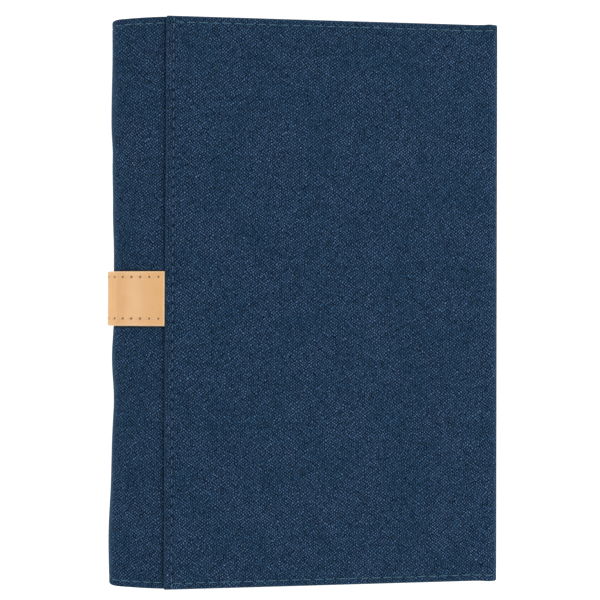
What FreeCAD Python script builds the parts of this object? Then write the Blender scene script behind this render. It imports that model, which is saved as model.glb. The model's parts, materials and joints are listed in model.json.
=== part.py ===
import FreeCAD, Part
import os
import Sketcher
from FreeCAD import Placement, Rotation, Vector

# Travel document organizer, a soft bifold lying closed on its back cover. Millimetres and degrees.
# X runs from the spine (-X) to the fore edge (+X), Y from the tail to the head, Z up. The origin is the
# middle of the footprint, on the back cover's outer face.

# alias, value, what it is
SIZES = [
    ("cover_tall", 230, "both covers, tail to head"),
    ("cover_wide", 136, "both covers, seam to fore edge"),
    ("outer_fabric", 0.9, "woven outer fabric"),
    ("board_thick", 1.6, "stiffening board"),
    ("lining_cloth", 0.5, "lining"),
    ("corner_round", 1.2, "corners at the fore edge"),
    ("fold_round", 0.7, "folded fabric edges"),
    ("fit_gap", 0.2, "clearance of a piece laid in or beside another"),
    ("thread_wide", 0.6, "stitching, width"),
    ("thread_sunk", 0.25, "stitching, depth in the fabric"),
    ("edge_stitch", 2.8, "stitching, from the head and tail edges"),
    ("seam_stitch", 2.4, "stitching, from the folded edge at the seam"),
    ("spine_high", 25, "height over the spine seams"),
    ("spine_deep", 23.3, "spine, seam to the crown of the leather band"),
    ("seam_slope", 5, "slope of the spine where it leaves a cover"),
    ("nose_slope", 25, "slope where the rounded nose begins"),
    ("slat_gap", 0.1, "gap between two strips of the spine"),
    ("leather_ply", 0.9, "each ply of the leather band"),
    ("band_tall", 22, "leather band, along the spine"),
    ("band_up", 1.7, "middle of the band above the middle of the spine"),
    ("pocket_cloth", 0.6, "pocket fabric"),
    ("pocket_hem", 2, "sewn rim of a pocket"),
    ("pocket_inset", 4, "pockets from the cover's edges"),
    ("binding_wide", 5, "tape over a pocket's open edge"),
    ("binding_thick", 0.4, "tape thickness"),
    ("cover_gap", 2.3, "clearance between the pockets of the closed covers, at the fore edge"),
    ("zip_from_seam", 22, "zip centreline from the seam"),
    ("zip_slot", 8, "gap between the zip pocket's two panels"),
    ("zip_room", 0.6, "hollow of the zip pocket"),
    ("gutter_inset", 3, "zip pocket from the seam"),
    ("tape_wide", 11, "each zip tape"),
    ("tape_thick", 0.4, "zip tape thickness"),
    ("coil_wide", 2.1, "each coil half"),
    ("coil_high", 1.2, "coil height"),
    ("coil_gap", 0.1, "gap between the coil halves"),
    ("stop_long", 2.4, "zip stop, along the zip"),
    ("stop_high", 1.5, "zip stop, above the tape"),
    ("tab_long", 9, "tab over each end of the zip"),
    ("tab_thick", 0.8, "tab thickness"),
    ("slider_long", 8.4, "slider, along the zip"),
    ("slider_wide", 7.2, "slider, across the zip"),
    ("slider_wall", 0.9, "slider's side walls"),
    ("slider_roof", 0.8, "slider's top plate"),
    ("bridge_long", 5.2, "bridge that holds the pull, along the zip"),
    ("bridge_wide", 1.6, "bridge, across the zip"),
    ("bridge_bar", 0.7, "bridge's posts and top bar"),
    ("pull_long", 12.5, "pull, axis to tip"),
    ("pull_heel", 0.55, "pull, axis to heel"),
    ("pull_play", 0.3, "pull's window clear of the bridge, each side"),
    ("pull_wide", 5, "pull"),
    ("pull_thick", 1, "pull"),
    ("pull_round", 2.2, "corners at the pull's tip"),
    ("pull_bar", 0.9, "diameter of the bar that the pull turns on"),
    ("pull_hole", 1.8, "hole near the pull's tip"),
    ("ticket_near_margin", 5, "ticket pocket from the zip's slot"),
    ("ticket_fore_margin", 1, "ticket pocket from the fore edge of the zip pocket"),
    ("ticket_tall", 150, "ticket pocket"),
    ("ticket_room", 0.4, "hollow of the ticket pocket"),
    ("passport_inset", 2, "passport pocket inside the ticket pocket, on three sides"),
    ("passport_tall", 106, "passport pocket"),
    ("passport_room", 0.6, "hollow of the passport pocket"),
    ("loop_from_seam", 9, "pen loop's axis from the seam"),
    ("loop_up", 60, "pen loop's middle above the middle of the cover"),
    ("loop_long", 24, "pen loop, along the pen"),
    ("loop_bore", 10.8, "pen loop's bore"),
    ("loop_elastic", 0.8, "elastic"),
    ("loop_foot", 11, "sewn foot of the pen loop"),
    ("papers_from_seam", 28, "document pocket's open edge from the seam"),
    ("papers_room", 0.5, "hollow of the document pocket"),
    ("card_cloth", 0.45, "card pocket fabric"),
    ("card_room", 0.25, "hollow of a card pocket"),
    ("card_margin", 3, "card pockets from the fore edge of the document pocket"),
    ("card_tall", 50, "shortest card pocket"),
    ("card_step", 13, "each card pocket taller than the one before it"),
    ("window_tall", 62, "window pocket"),
    ("window_wall", 7, "frame round the window"),
    ("window_room", 0.4, "hollow of the window pocket"),
    ("film_thick", 0.2, "clear film"),
    ("pocket_space", 5, "free cover between the card pockets and the window pocket"),
]
CARD_POCKETS = 4
NOSE_STRIPS = 3
# a cut that runs out of a piece is this many times as long as the piece
RUN_OUT = 2

# name, expression, what it is
DERIVED = [
    ("cover_thick", "Sizes.outer_fabric + Sizes.board_thick + Sizes.lining_cloth", "one cover"),
    ("seam_x", "(Sizes.spine_deep - Sizes.cover_wide) / 2", "both seams"),
    ("zip_roof", "Derived.cover_thick + Sizes.zip_room", "underside of the zip pocket's panels"),
    ("zip_top", "Derived.zip_roof + Sizes.pocket_cloth", "top of the zip pocket"),
    ("ticket_top", "Derived.zip_top + Sizes.ticket_room + Sizes.pocket_cloth", "top of the ticket pocket"),
    ("passport_top", "Derived.ticket_top + Sizes.passport_room + Sizes.pocket_cloth",
     "top of the passport pocket"),
    ("papers_top", "Derived.cover_thick + Sizes.papers_room + Sizes.pocket_cloth",
     "top of the document pocket"),
    ("card_layer", "Sizes.card_room + Sizes.card_cloth", "one card pocket"),
    ("fore_high", "Derived.passport_top + Sizes.binding_thick + Sizes.cover_gap + Derived.papers_top"
     f" + {CARD_POCKETS} * Derived.card_layer", "height over the covers at the fore edge"),
    ("cover_tilt", "asin((Sizes.spine_high - Derived.fore_high) / Sizes.cover_wide) / 1deg",
     "front cover's slope down to the fore edge"),
    ("strip_reach", "sin(Sizes.nose_slope) - sin(Sizes.seam_slope)", "seam strip's reach in X, per radius"),
    ("strip_rise", "cos(Sizes.seam_slope) - cos(Sizes.nose_slope)", "seam strip's rise in Z, per radius"),
    ("nose_reach", "1 - sin(Sizes.nose_slope)", "half nose's reach in X, per radius"),
    ("nose_rise", "cos(Sizes.nose_slope)", "half nose's rise in Z, per radius"),
    ("spine_share", "Derived.strip_reach * Derived.nose_rise - Derived.nose_reach * Derived.strip_rise",
     "determinant of the two reach and rise equations"),
    ("strip_radius", "(Sizes.spine_deep * Derived.nose_rise - Derived.nose_reach * Sizes.spine_high / 2)"
     " / Derived.spine_share", "radius of the spine beside the seams, outside"),
    ("nose_radius", "(Derived.strip_reach * Sizes.spine_high / 2 - Derived.strip_rise * Sizes.spine_deep)"
     " / Derived.spine_share", "radius of the spine's nose, outside"),
    ("strip_centre_x", "Derived.seam_x + Derived.strip_radius * sin(Sizes.seam_slope)",
     "centre of both seam strips"),
    ("strip_centre_z", "Derived.strip_radius * cos(Sizes.seam_slope)",
     "back strip's centre, the front's mirrored"),
    ("nose_centre_x", "Derived.strip_centre_x - (Derived.strip_radius - Derived.nose_radius)"
     " * sin(Sizes.nose_slope)", "centre of the nose"),
    ("nose_step", f"(180 - 2 * Sizes.nose_slope) / {NOSE_STRIPS}", "angle of one nose strip"),
    ("spine_thick", "2 * Sizes.leather_ply + Sizes.outer_fabric + Sizes.lining_cloth",
     "band, fabric and lining"),
    ("strip_trim", "asin(Sizes.slat_gap / 2 / Derived.strip_radius) / 1deg",
     "half a gap, on the seam strips"),
    ("nose_trim", "asin(Sizes.slat_gap / 2 / Derived.nose_radius) / 1deg",
     "half a gap, on the nose strips"),
    ("back_trim", "asin((Derived.spine_thick * sin(Sizes.seam_slope) + Sizes.fit_gap)"
     " / Derived.strip_radius) / 1deg", "spine clear of the back cover's folded edge"),
    ("front_trim", "asin((Derived.spine_thick * sin(Sizes.seam_slope + Derived.cover_tilt) + Sizes.fit_gap)"
     " / Derived.strip_radius) / 1deg", "spine clear of the front cover's folded edge"),
    ("pocket_end", "Sizes.cover_tall / 2 - Sizes.pocket_inset", "head end of the pockets"),
    ("pocket_fore", "Sizes.cover_wide - Sizes.pocket_inset", "fore edge of the pockets, from the seam"),
    ("tape_end", "Derived.pocket_end - Sizes.pocket_hem - Sizes.fit_gap", "head end of the zip tapes"),
    ("stop_end", "Derived.pocket_end - Sizes.tab_long - Sizes.fit_gap", "head end of the head stop"),
    ("coil_end", "Derived.stop_end - Sizes.stop_long - Sizes.fit_gap", "head end of the coil"),
    ("slider_rest", "Derived.coil_end - Sizes.slider_long / 2", "slider's middle with the zip shut"),
    ("slider_floor", "Derived.zip_roof + Sizes.fit_gap", "underside of the slider's walls"),
    ("slider_high", "Sizes.coil_high + Sizes.slider_roof", "slider's walls and roof"),
    ("pivot_rise", "sqrt(Sizes.pull_heel^2 + (Sizes.pull_thick / 2)^2) + Sizes.fit_gap",
     "pull's axis above the slider's roof, so that its heel swings clear"),
    ("bridge_eye", "Derived.pivot_rise + (Sizes.pull_bar + Sizes.fit_gap) / 2",
     "height of the eye under the bridge"),
    ("pull_axis", "Derived.slider_floor + Derived.slider_high + Derived.pivot_rise",
     "height of the pull's axis"),
    ("pull_eye", "sqrt((Sizes.bridge_long / 2)^2"
     " + (Derived.bridge_eye + Sizes.bridge_bar - Derived.pivot_rise)^2) + Sizes.fit_gap",
     "pull's window, from its axis, to swing clear of the bridge"),
    ("card_near", "Sizes.papers_from_seam + Sizes.binding_wide + Sizes.pocket_hem",
     "card pockets, from the seam"),
    ("card_wide", "Derived.pocket_fore - Sizes.card_margin - Derived.card_near", "card pocket"),
    ("card_low", "-Derived.pocket_end + Sizes.pocket_hem", "tail end of the card pockets"),
    ("window_low", f"Derived.card_low + Sizes.card_tall + {CARD_POCKETS - 1} * Sizes.card_step"
     " + Sizes.pocket_space", "tail end of the window pocket"),
    ("ticket_low", "-Derived.pocket_end + Sizes.pocket_hem", "tail end of the ticket pocket"),
    ("ticket_near", "Sizes.zip_from_seam + Sizes.zip_slot / 2 + Sizes.ticket_near_margin",
     "ticket pocket, from the seam"),
    ("ticket_wide", "Derived.pocket_fore - Sizes.ticket_fore_margin - Derived.ticket_near",
     "ticket pocket"),
    ("passport_low", "Derived.ticket_low + Sizes.passport_inset", "tail end of the passport pocket"),
    ("passport_near", "Derived.ticket_near + Sizes.passport_inset", "passport pocket, from the seam"),
    ("passport_wide", "Derived.ticket_wide - 2 * Sizes.passport_inset", "passport pocket"),
]

doc = FreeCAD.newDocument("travel_document_organizer")
sheet = doc.addObject("Spreadsheet::Sheet", "Sizes")
for row, (alias, value, what) in enumerate(SIZES, start=1):
    sheet.set(f"A{row}", alias)
    sheet.set(f"B{row}", str(value))
    sheet.set(f"C{row}", what)
    sheet.setAlias(f"B{row}", alias)
doc.recompute()

derived = doc.addObject("App::VarSet", "Derived")
for name, expression, what in DERIVED:
    derived.addProperty("App::PropertyFloat", name, "Geometry", what)
    derived.setExpression(name, expression)
    doc.recompute()


class Cover:
    """Where a cover's pieces go. They are drawn with the cover's outer face on the XY plane and its seam
    on the Y axis; the front cover's run towards -X, and turn over about the seam to close."""

    def __init__(self, opens_left):
        self.opens_left = opens_left

    def left(self, near, wide):
        """The low-X side of a piece that starts near the seam and is so wide."""
        return f"-({near}) - ({wide})" if self.opens_left else near

    def place(self, body):
        body.setExpression("Placement.Base.x", "Derived.seam_x")
        if self.opens_left:
            body.Placement = Placement(Vector(), Rotation(Vector(0, 1, 0), 180))
            body.setExpression("Placement.Base.x", "Derived.seam_x")
            body.setExpression("Placement.Base.z", "Sizes.spine_high")
            body.setExpression("Placement.Rotation.Angle", "180 + Derived.cover_tilt")


BACK = Cover(opens_left=False)
FRONT = Cover(opens_left=True)
bodies = []


def new_body(label):
    body = doc.addObject("PartDesign::Body", label)
    body.Label = label
    bodies.append(body)
    return body


def origin_feature(body, role):
    return next(feature for feature in body.Origin.OriginFeatures if feature.Role == role)


def new_sketch(body, name, plane="XY_Plane", along="0", up="0", level="0"):
    """A sketch on one of the body's planes, its origin moved along, up and off that plane."""
    sketch = body.newObject("Sketcher::SketchObject", name)
    sketch.AttachmentSupport = (origin_feature(body, plane), [""])
    sketch.MapMode = "FlatFace"
    sketch.setExpression("AttachmentOffset.Base.x", along)
    sketch.setExpression("AttachmentOffset.Base.y", up)
    sketch.setExpression("AttachmentOffset.Base.z", level)
    return sketch


def bind(sketch, constraint, name, expression):
    number = sketch.addConstraint(constraint)
    sketch.renameConstraint(number, name)
    sketch.setExpression(f"Constraints.{name}", expression)


def rectangle(sketch, wide, tall):
    """A rectangle with a corner on the sketch's origin."""
    low, fore, high, near = range(4)
    corners = [Vector(0, 0, 0), Vector(1, 0, 0), Vector(1, 1, 0), Vector(0, 1, 0)]
    following = {low: fore, fore: high, high: near, near: low}
    for line, after in following.items():
        sketch.addGeometry(Part.LineSegment(corners[line], corners[after]), False)
    for line, after in following.items():
        sketch.addConstraint(Sketcher.Constraint("Coincident", line, 2, after, 1))
    for line in (low, high):
        sketch.addConstraint(Sketcher.Constraint("Horizontal", line))
    for line in (fore, near):
        sketch.addConstraint(Sketcher.Constraint("Vertical", line))
    sketch.addConstraint(Sketcher.Constraint("Coincident", low, 1, -1, 1))
    bind(sketch, Sketcher.Constraint("DistanceX", low, 1, low, 2, 1), "wide", wide)
    bind(sketch, Sketcher.Constraint("DistanceY", fore, 1, fore, 2, 1), "tall", tall)
    return sketch


def circle(sketch, diameter):
    """A circle round the sketch's origin."""
    sketch.addGeometry(Part.Circle(Vector(), Vector(0, 0, 1), 1), False)
    sketch.addConstraint(Sketcher.Constraint("Coincident", 0, 3, -1, 1))
    bind(sketch, Sketcher.Constraint("Diameter", 0, 2), "diameter", diameter)
    return sketch


def pad(body, sketch, length, symmetric=False):
    feature = body.newObject("PartDesign::Pad", sketch.Name + "_pad")
    feature.Profile = sketch
    feature.setExpression("Length", length)
    feature.SideType = "Symmetric" if symmetric else "One side"
    return feature


def pocket(body, sketch, length, symmetric=False):
    """Cuts along the sketch's normal, or both ways from it. The cut has to remove something."""
    doc.recompute()
    before = body.Shape.Volume
    feature = body.newObject("PartDesign::Pocket", sketch.Name + "_cut")
    feature.Profile = sketch
    feature.setExpression("Length", length)
    feature.SideType = "Symmetric" if symmetric else "One side"
    feature.Reversed = not symmetric
    doc.recompute()
    if not body.Shape.Volume < before:
        raise RuntimeError(f"{body.Label}: {sketch.Name} cuts nothing")
    return feature


def round_edges(body, radius, chosen):
    """Fillets the edges of the body's last feature that the test picks by their middle point."""
    doc.recompute()
    base = body.Tip
    names = [f"Edge{number}" for number, edge in enumerate(base.Shape.Edges, start=1) if chosen(edge)]
    feature = body.newObject("PartDesign::Fillet", "round")
    feature.Base = (base, names)
    feature.setExpression("Radius", radius)
    return feature


def slab(label, cover, near, low, wide, tall, level, thick):
    """A flat rectangular piece of a cover. near is from the seam, level from the cover's outer face."""
    body = new_body(label)
    outline = new_sketch(body, f"{label}_outline", along=cover.left(near, wide), up=low, level=level)
    rectangle(outline, wide, tall)
    pad(body, outline, thick)
    cover.place(body)
    return body


def sewn_pocket(label, cover, near, low, wide, tall, level, room, cloth, opens):
    """A pocket: a sheet of cloth held off the layer below by sewn rims on all sides but the open one."""
    body = slab(label, cover, near, low, wide, tall, level, f"{room} + {cloth}")
    hem = "Sizes.pocket_hem"
    # the hollow runs out past the open edge by one hem
    inner_near = f"{near} - {hem}" if opens == "seam" else f"{near} + {hem}"
    inner_wide = wide if opens in ("seam", "fore") else f"{wide} - 2 * {hem}"
    inner_tall = tall if opens == "head" else f"{tall} - 2 * {hem}"
    hollow = new_sketch(body, f"{label}_hollow", along=cover.left(inner_near, inner_wide),
                        up=f"{low} + {hem}", level=level)
    rectangle(hollow, inner_wide, inner_tall)
    pocket(body, hollow, room)
    return body


# Covers: the outer fabric is a tray, folded up round the board and the lining.

def stitch_lines(cover):
    """Name, left side, low side, width and height of the stitched lines on a cover's outer face."""
    line = "Sizes.thread_wide"
    tail = "-Sizes.cover_tall / 2 + Sizes.edge_stitch"
    head = "Sizes.cover_tall / 2 - Sizes.edge_stitch"
    run = "Sizes.cover_wide - Sizes.seam_stitch - Sizes.corner_round"
    near = "Sizes.seam_stitch"
    return [
        ("seam", cover.left(near, line), tail, line, "Sizes.cover_tall - 2 * Sizes.edge_stitch"),
        ("tail", cover.left(near, run), tail, run, line),
        ("head", cover.left(near, run), f"{head} - {line}", run, line),
    ]


def cover_pieces(name, cover):
    tail = "-Sizes.cover_tall / 2"
    wall = "Sizes.outer_fabric"
    panel = slab(f"{name}_cover_panel", cover, "0", tail, "Sizes.cover_wide", "Sizes.cover_tall",
                 "0", "Derived.cover_thick")
    tray_wide = f"Sizes.cover_wide - 2 * {wall}"
    tray = new_sketch(panel, f"{name}_tray", along=cover.left(wall, tray_wide), up=f"{tail} + {wall}",
                      level=wall)
    rectangle(tray, tray_wide, f"Sizes.cover_tall - 2 * {wall}")
    pocket(panel, tray, "Derived.cover_thick")

    sliver = sheet.fit_gap / 10
    fore_side = -sheet.cover_wide if cover.opens_left else sheet.cover_wide

    def at_fore_corner(edge):
        return edge.BoundBox.ZLength > sheet.board_thick and abs(edge.CenterOfMass.x - fore_side) < sliver

    def on_outer_face(edge):
        return edge.BoundBox.ZMax < sliver

    round_edges(panel, "Sizes.corner_round", at_fore_corner)
    round_edges(panel, "Sizes.fold_round", on_outer_face)

    thread = new_body(f"{name}_cover_thread")
    for place, left, low, wide, tall in stitch_lines(cover):
        groove = new_sketch(panel, f"{name}_{place}_groove", along=left, up=low)
        rectangle(groove, wide, tall)
        pocket(panel, groove, "Sizes.thread_sunk")
        line = new_sketch(thread, f"{name}_{place}_line", along=left, up=low)
        rectangle(line, wide, tall)
        pad(thread, line, "Sizes.thread_sunk")
    cover.place(thread)

    inset = f"({wall} + Sizes.fit_gap)"
    inner_wide = f"Sizes.cover_wide - 2 * {inset}"
    inner_tall = f"Sizes.cover_tall - 2 * {inset}"
    slab(f"{name}_cover_board", cover, inset, f"{tail} + {inset}", inner_wide, inner_tall,
         wall, "Sizes.board_thick")
    slab(f"{name}_cover_lining", cover, inset, f"{tail} + {inset}", inner_wide, inner_tall,
         f"{wall} + Sizes.board_thick", "Sizes.lining_cloth")


cover_pieces("back", BACK)
cover_pieces("front", FRONT)


# Spine: cloth layers bent round two seam strips and a nose. Each layer is cut along the spine where the
# cloth bends, so every strip turns about a line on the outside of the bend.

def spine_strip(label, centre_x, centre_z, radius, start, turn, depth, thick, tall, middle="0"):
    """One strip of one layer. start is the outside's angle past straight down, depth is from the outside."""
    body = new_body(label)
    section = new_sketch(body, f"{label}_section", along=f"{radius} - ({depth}) - {thick}",
                         up=f"{middle} - ({tall}) / 2")
    rectangle(section, thick, tall)
    bend = body.newObject("PartDesign::Revolution", f"{label}_bend")
    bend.Profile = section
    bend.ReferenceAxis = (origin_feature(body, "Y_Axis"), [""])
    bend.setExpression("Angle", turn)
    body.Placement = Placement(Vector(), Rotation(Vector(0, 1, 0), 90))
    body.setExpression("Placement.Base.x", centre_x)
    body.setExpression("Placement.Base.z", centre_z)
    body.setExpression("Placement.Rotation.Angle", f"90 + {start}")
    return body


def spine_places():
    """Name, centre, radius, start and turn of every strip, from the back cover to the front cover."""
    strip_turn = "Sizes.nose_slope - Sizes.seam_slope"
    places = [("back_strip", "Derived.strip_centre_x", "Derived.strip_centre_z", "Derived.strip_radius",
               "Sizes.seam_slope + Derived.back_trim",
               f"{strip_turn} - Derived.back_trim - Derived.strip_trim")]
    for number in range(NOSE_STRIPS):
        places.append((f"nose_{number + 1}", "Derived.nose_centre_x", "Sizes.spine_high / 2",
                       "Derived.nose_radius",
                       f"Sizes.nose_slope + {number} * Derived.nose_step + Derived.nose_trim",
                       "Derived.nose_step - 2 * Derived.nose_trim"))
    places.append(("front_strip", "Derived.strip_centre_x", "Sizes.spine_high - Derived.strip_centre_z",
                   "Derived.strip_radius", "180 - Sizes.nose_slope + Derived.strip_trim",
                   f"{strip_turn} - Derived.front_trim - Derived.strip_trim"))
    return places


SPINE_LAYERS = [
    ("band_leather", "0", "Sizes.leather_ply", "Sizes.band_tall", "Sizes.band_up"),
    ("band_backing", "Sizes.leather_ply", "Sizes.leather_ply", "Sizes.band_tall", "Sizes.band_up"),
    ("spine_fabric", "2 * Sizes.leather_ply", "Sizes.outer_fabric", "Sizes.cover_tall", "0"),
    ("spine_lining", "2 * Sizes.leather_ply + Sizes.outer_fabric", "Sizes.lining_cloth", "Sizes.cover_tall",
     "0"),
]
for layer, depth, thick, tall, middle in SPINE_LAYERS:
    for place, centre_x, centre_z, radius, start, turn in spine_places():
        spine_strip(f"{layer}_{place}", centre_x, centre_z, radius, start, turn, depth, thick, tall, middle)


# Inside the front cover: a full-height pocket for papers, four stepped card pockets and a window pocket.

POCKET_TALL = "2 * Derived.pocket_end"
POCKET_TAIL = "-Derived.pocket_end"

papers_wide = "Derived.pocket_fore - Sizes.papers_from_seam"
sewn_pocket("document_pocket", FRONT, "Sizes.papers_from_seam", POCKET_TAIL, papers_wide, POCKET_TALL,
            "Derived.cover_thick", "Sizes.papers_room", "Sizes.pocket_cloth", opens="seam")
slab("document_pocket_binding", FRONT, "Sizes.papers_from_seam", POCKET_TAIL, "Sizes.binding_wide",
     POCKET_TALL, "Derived.papers_top", "Sizes.binding_thick")
for number in range(CARD_POCKETS):
    sewn_pocket(f"card_pocket_{number + 1}", FRONT, "Derived.card_near", "Derived.card_low",
                "Derived.card_wide",
                f"Sizes.card_tall + {CARD_POCKETS - 1 - number} * Sizes.card_step",
                f"Derived.papers_top + {number} * Derived.card_layer", "Sizes.card_room", "Sizes.card_cloth",
                opens="head")

frame = sewn_pocket("id_window_frame", FRONT, "Derived.card_near", "Derived.window_low", "Derived.card_wide",
                    "Sizes.window_tall", "Derived.papers_top", "Sizes.window_room", "Sizes.pocket_cloth",
                    opens="head")
opening_wide = "Derived.card_wide - 2 * Sizes.window_wall"
window = new_sketch(frame, "window_opening", level="Derived.papers_top",
                    up="Derived.window_low + Sizes.window_wall",
                    along=FRONT.left("Derived.card_near + Sizes.window_wall", opening_wide))
rectangle(window, opening_wide, "Sizes.window_tall - 2 * Sizes.window_wall")
pocket(frame, window, "Sizes.window_room + Sizes.pocket_cloth")
film_inset = "(Sizes.pocket_hem + Sizes.fit_gap)"
slab("id_window_film", FRONT, f"Derived.card_near + {film_inset}", f"Derived.window_low + {film_inset}",
     f"Derived.card_wide - 2 * {film_inset}", f"Sizes.window_tall - 2 * {film_inset}",
     "Derived.papers_top + Sizes.window_room - Sizes.film_thick", "Sizes.film_thick")


# Inside the back cover: a full-height zip pocket near the gutter, then a ticket and a passport pocket.

slot_near = "Sizes.zip_from_seam - Sizes.zip_slot / 2"
slot_far = "Sizes.zip_from_seam + Sizes.zip_slot / 2"
sewn_pocket("zip_panel_gutter", BACK, "Sizes.gutter_inset", POCKET_TAIL, f"{slot_near} - Sizes.gutter_inset",
            POCKET_TALL, "Derived.cover_thick", "Sizes.zip_room", "Sizes.pocket_cloth", opens="fore")
sewn_pocket("zip_panel_main", BACK, slot_far, POCKET_TAIL, f"Derived.pocket_fore - ({slot_far})",
            POCKET_TALL, "Derived.cover_thick", "Sizes.zip_room", "Sizes.pocket_cloth", opens="seam")

tape_level = "Derived.zip_roof - Sizes.tape_thick"
half_gap = "Sizes.coil_gap / 2"
for side, tape_near, coil_near in (
        ("gutter", f"Sizes.zip_from_seam - {half_gap} - Sizes.tape_wide",
         f"Sizes.zip_from_seam - {half_gap} - Sizes.coil_wide"),
        ("main", f"Sizes.zip_from_seam + {half_gap}", f"Sizes.zip_from_seam + {half_gap}")):
    slab(f"zip_tape_{side}", BACK, tape_near, "-Derived.tape_end", "Sizes.tape_wide", "2 * Derived.tape_end",
         tape_level, "Sizes.tape_thick")
    slab(f"zip_coil_{side}", BACK, coil_near, "-Derived.coil_end", "Sizes.coil_wide", "2 * Derived.coil_end",
         "Derived.zip_roof", "Sizes.coil_high")

stop_wide = "2 * Sizes.coil_wide + Sizes.coil_gap"
tab_wide = "Sizes.zip_slot - 2 * Sizes.fit_gap"
for end, stop_low, tab_low in (
        ("tail", "-Derived.stop_end", "-Derived.pocket_end"),
        ("head", "Derived.stop_end - Sizes.stop_long", "Derived.pocket_end - Sizes.tab_long")):
    slab(f"zip_stop_{end}", BACK, f"Sizes.zip_from_seam - ({stop_wide}) / 2", stop_low, stop_wide,
         "Sizes.stop_long", "Derived.zip_roof", "Sizes.stop_high")
    slab(f"zip_tab_{end}", BACK, f"{slot_near} + Sizes.fit_gap", tab_low, tab_wide, "Sizes.tab_long",
         "Derived.zip_roof", "Sizes.tab_thick")


def zip_slider():
    """A roof and two walls over the coil, and a bridge on top for the pull, round the zip's centreline."""
    body = new_body("zip_slider")
    roof = new_sketch(body, "slider_block", along="-Sizes.slider_wide / 2", up="-Sizes.slider_long / 2")
    rectangle(roof, "Sizes.slider_wide", "Sizes.slider_long")
    pad(body, roof, "Derived.slider_high")
    channel_wide = "Sizes.slider_wide - 2 * Sizes.slider_wall"
    channel_long = f"{RUN_OUT} * Sizes.slider_long"
    channel = new_sketch(body, "slider_channel", along=f"-({channel_wide}) / 2", up=f"-({channel_long}) / 2")
    rectangle(channel, channel_wide, channel_long)
    pocket(body, channel, "Sizes.coil_high")
    bridge = new_sketch(body, "slider_bridge", plane="YZ_Plane", along="-Sizes.bridge_long / 2",
                        up="Derived.slider_high")
    rectangle(bridge, "Sizes.bridge_long", "Derived.bridge_eye + Sizes.bridge_bar")
    pad(body, bridge, "Sizes.bridge_wide", symmetric=True)
    eye = new_sketch(body, "slider_eye", plane="YZ_Plane", along="Sizes.bridge_bar - Sizes.bridge_long / 2",
                     up="Derived.slider_high")
    rectangle(eye, "Sizes.bridge_long - 2 * Sizes.bridge_bar", "Derived.bridge_eye")
    pocket(body, eye, "Sizes.slider_wide", symmetric=True)
    place_on_zip(body, "Derived.slider_floor")


def zip_pull():
    """A flat pull with a window for the bridge, and a bar across the window to turn on, at the origin."""
    body = new_body("zip_pull")
    plate = new_sketch(body, "pull_plate", along="-Sizes.pull_wide / 2", up="-Sizes.pull_long",
                       level="-Sizes.pull_thick / 2")
    rectangle(plate, "Sizes.pull_wide", "Sizes.pull_long + Sizes.pull_heel")
    pad(body, plate, "Sizes.pull_thick")
    tip = -sheet.pull_long

    def at_tip(edge):
        upright = edge.BoundBox.ZLength > sheet.pull_thick / 2
        return upright and abs(edge.CenterOfMass.y - tip) < sheet.fit_gap

    round_edges(body, "Sizes.pull_round", at_tip)
    eye_wide = "(Sizes.bridge_wide + 2 * Sizes.pull_play)"
    eye = new_sketch(body, "pull_window", along=f"-{eye_wide} / 2", up="-Derived.pull_eye",
                     level="-Sizes.pull_thick / 2")
    rectangle(eye, eye_wide, f"Derived.pull_eye + {RUN_OUT} * Sizes.pull_heel")
    pocket(body, eye, "Sizes.pull_thick")
    hole = new_sketch(body, "pull_tip_hole", up="-Sizes.pull_long + Sizes.pull_wide / 2",
                      level="-Sizes.pull_thick / 2")
    circle(hole, "Sizes.pull_hole")
    pocket(body, hole, "Sizes.pull_thick")
    bar = new_sketch(body, "pull_bar", plane="YZ_Plane")
    circle(bar, "Sizes.pull_bar")
    pad(body, bar, "Sizes.pull_wide - Sizes.fit_gap", symmetric=True)
    place_on_zip(body, "Derived.pull_axis")


def place_on_zip(body, height):
    body.setExpression("Placement.Base.x", "Derived.seam_x + Sizes.zip_from_seam")
    body.setExpression("Placement.Base.y", "Derived.slider_rest")
    body.setExpression("Placement.Base.z", height)


zip_slider()
zip_pull()

sewn_pocket("ticket_pocket", BACK, "Derived.ticket_near", "Derived.ticket_low", "Derived.ticket_wide",
            "Sizes.ticket_tall", "Derived.zip_top", "Sizes.ticket_room", "Sizes.pocket_cloth", opens="head")
slab("ticket_pocket_binding", BACK, "Derived.ticket_near",
     "Derived.ticket_low + Sizes.ticket_tall - Sizes.binding_wide", "Derived.ticket_wide",
     "Sizes.binding_wide", "Derived.ticket_top", "Sizes.binding_thick")
sewn_pocket("passport_pocket", BACK, "Derived.passport_near", "Derived.passport_low",
            "Derived.passport_wide", "Sizes.passport_tall", "Derived.ticket_top", "Sizes.passport_room",
            "Sizes.pocket_cloth", opens="head")
slab("passport_pocket_binding", BACK, "Derived.passport_near",
     "Derived.passport_low + Sizes.passport_tall - Sizes.binding_wide", "Derived.passport_wide",
     "Sizes.binding_wide", "Derived.passport_top", "Sizes.binding_thick")


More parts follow.
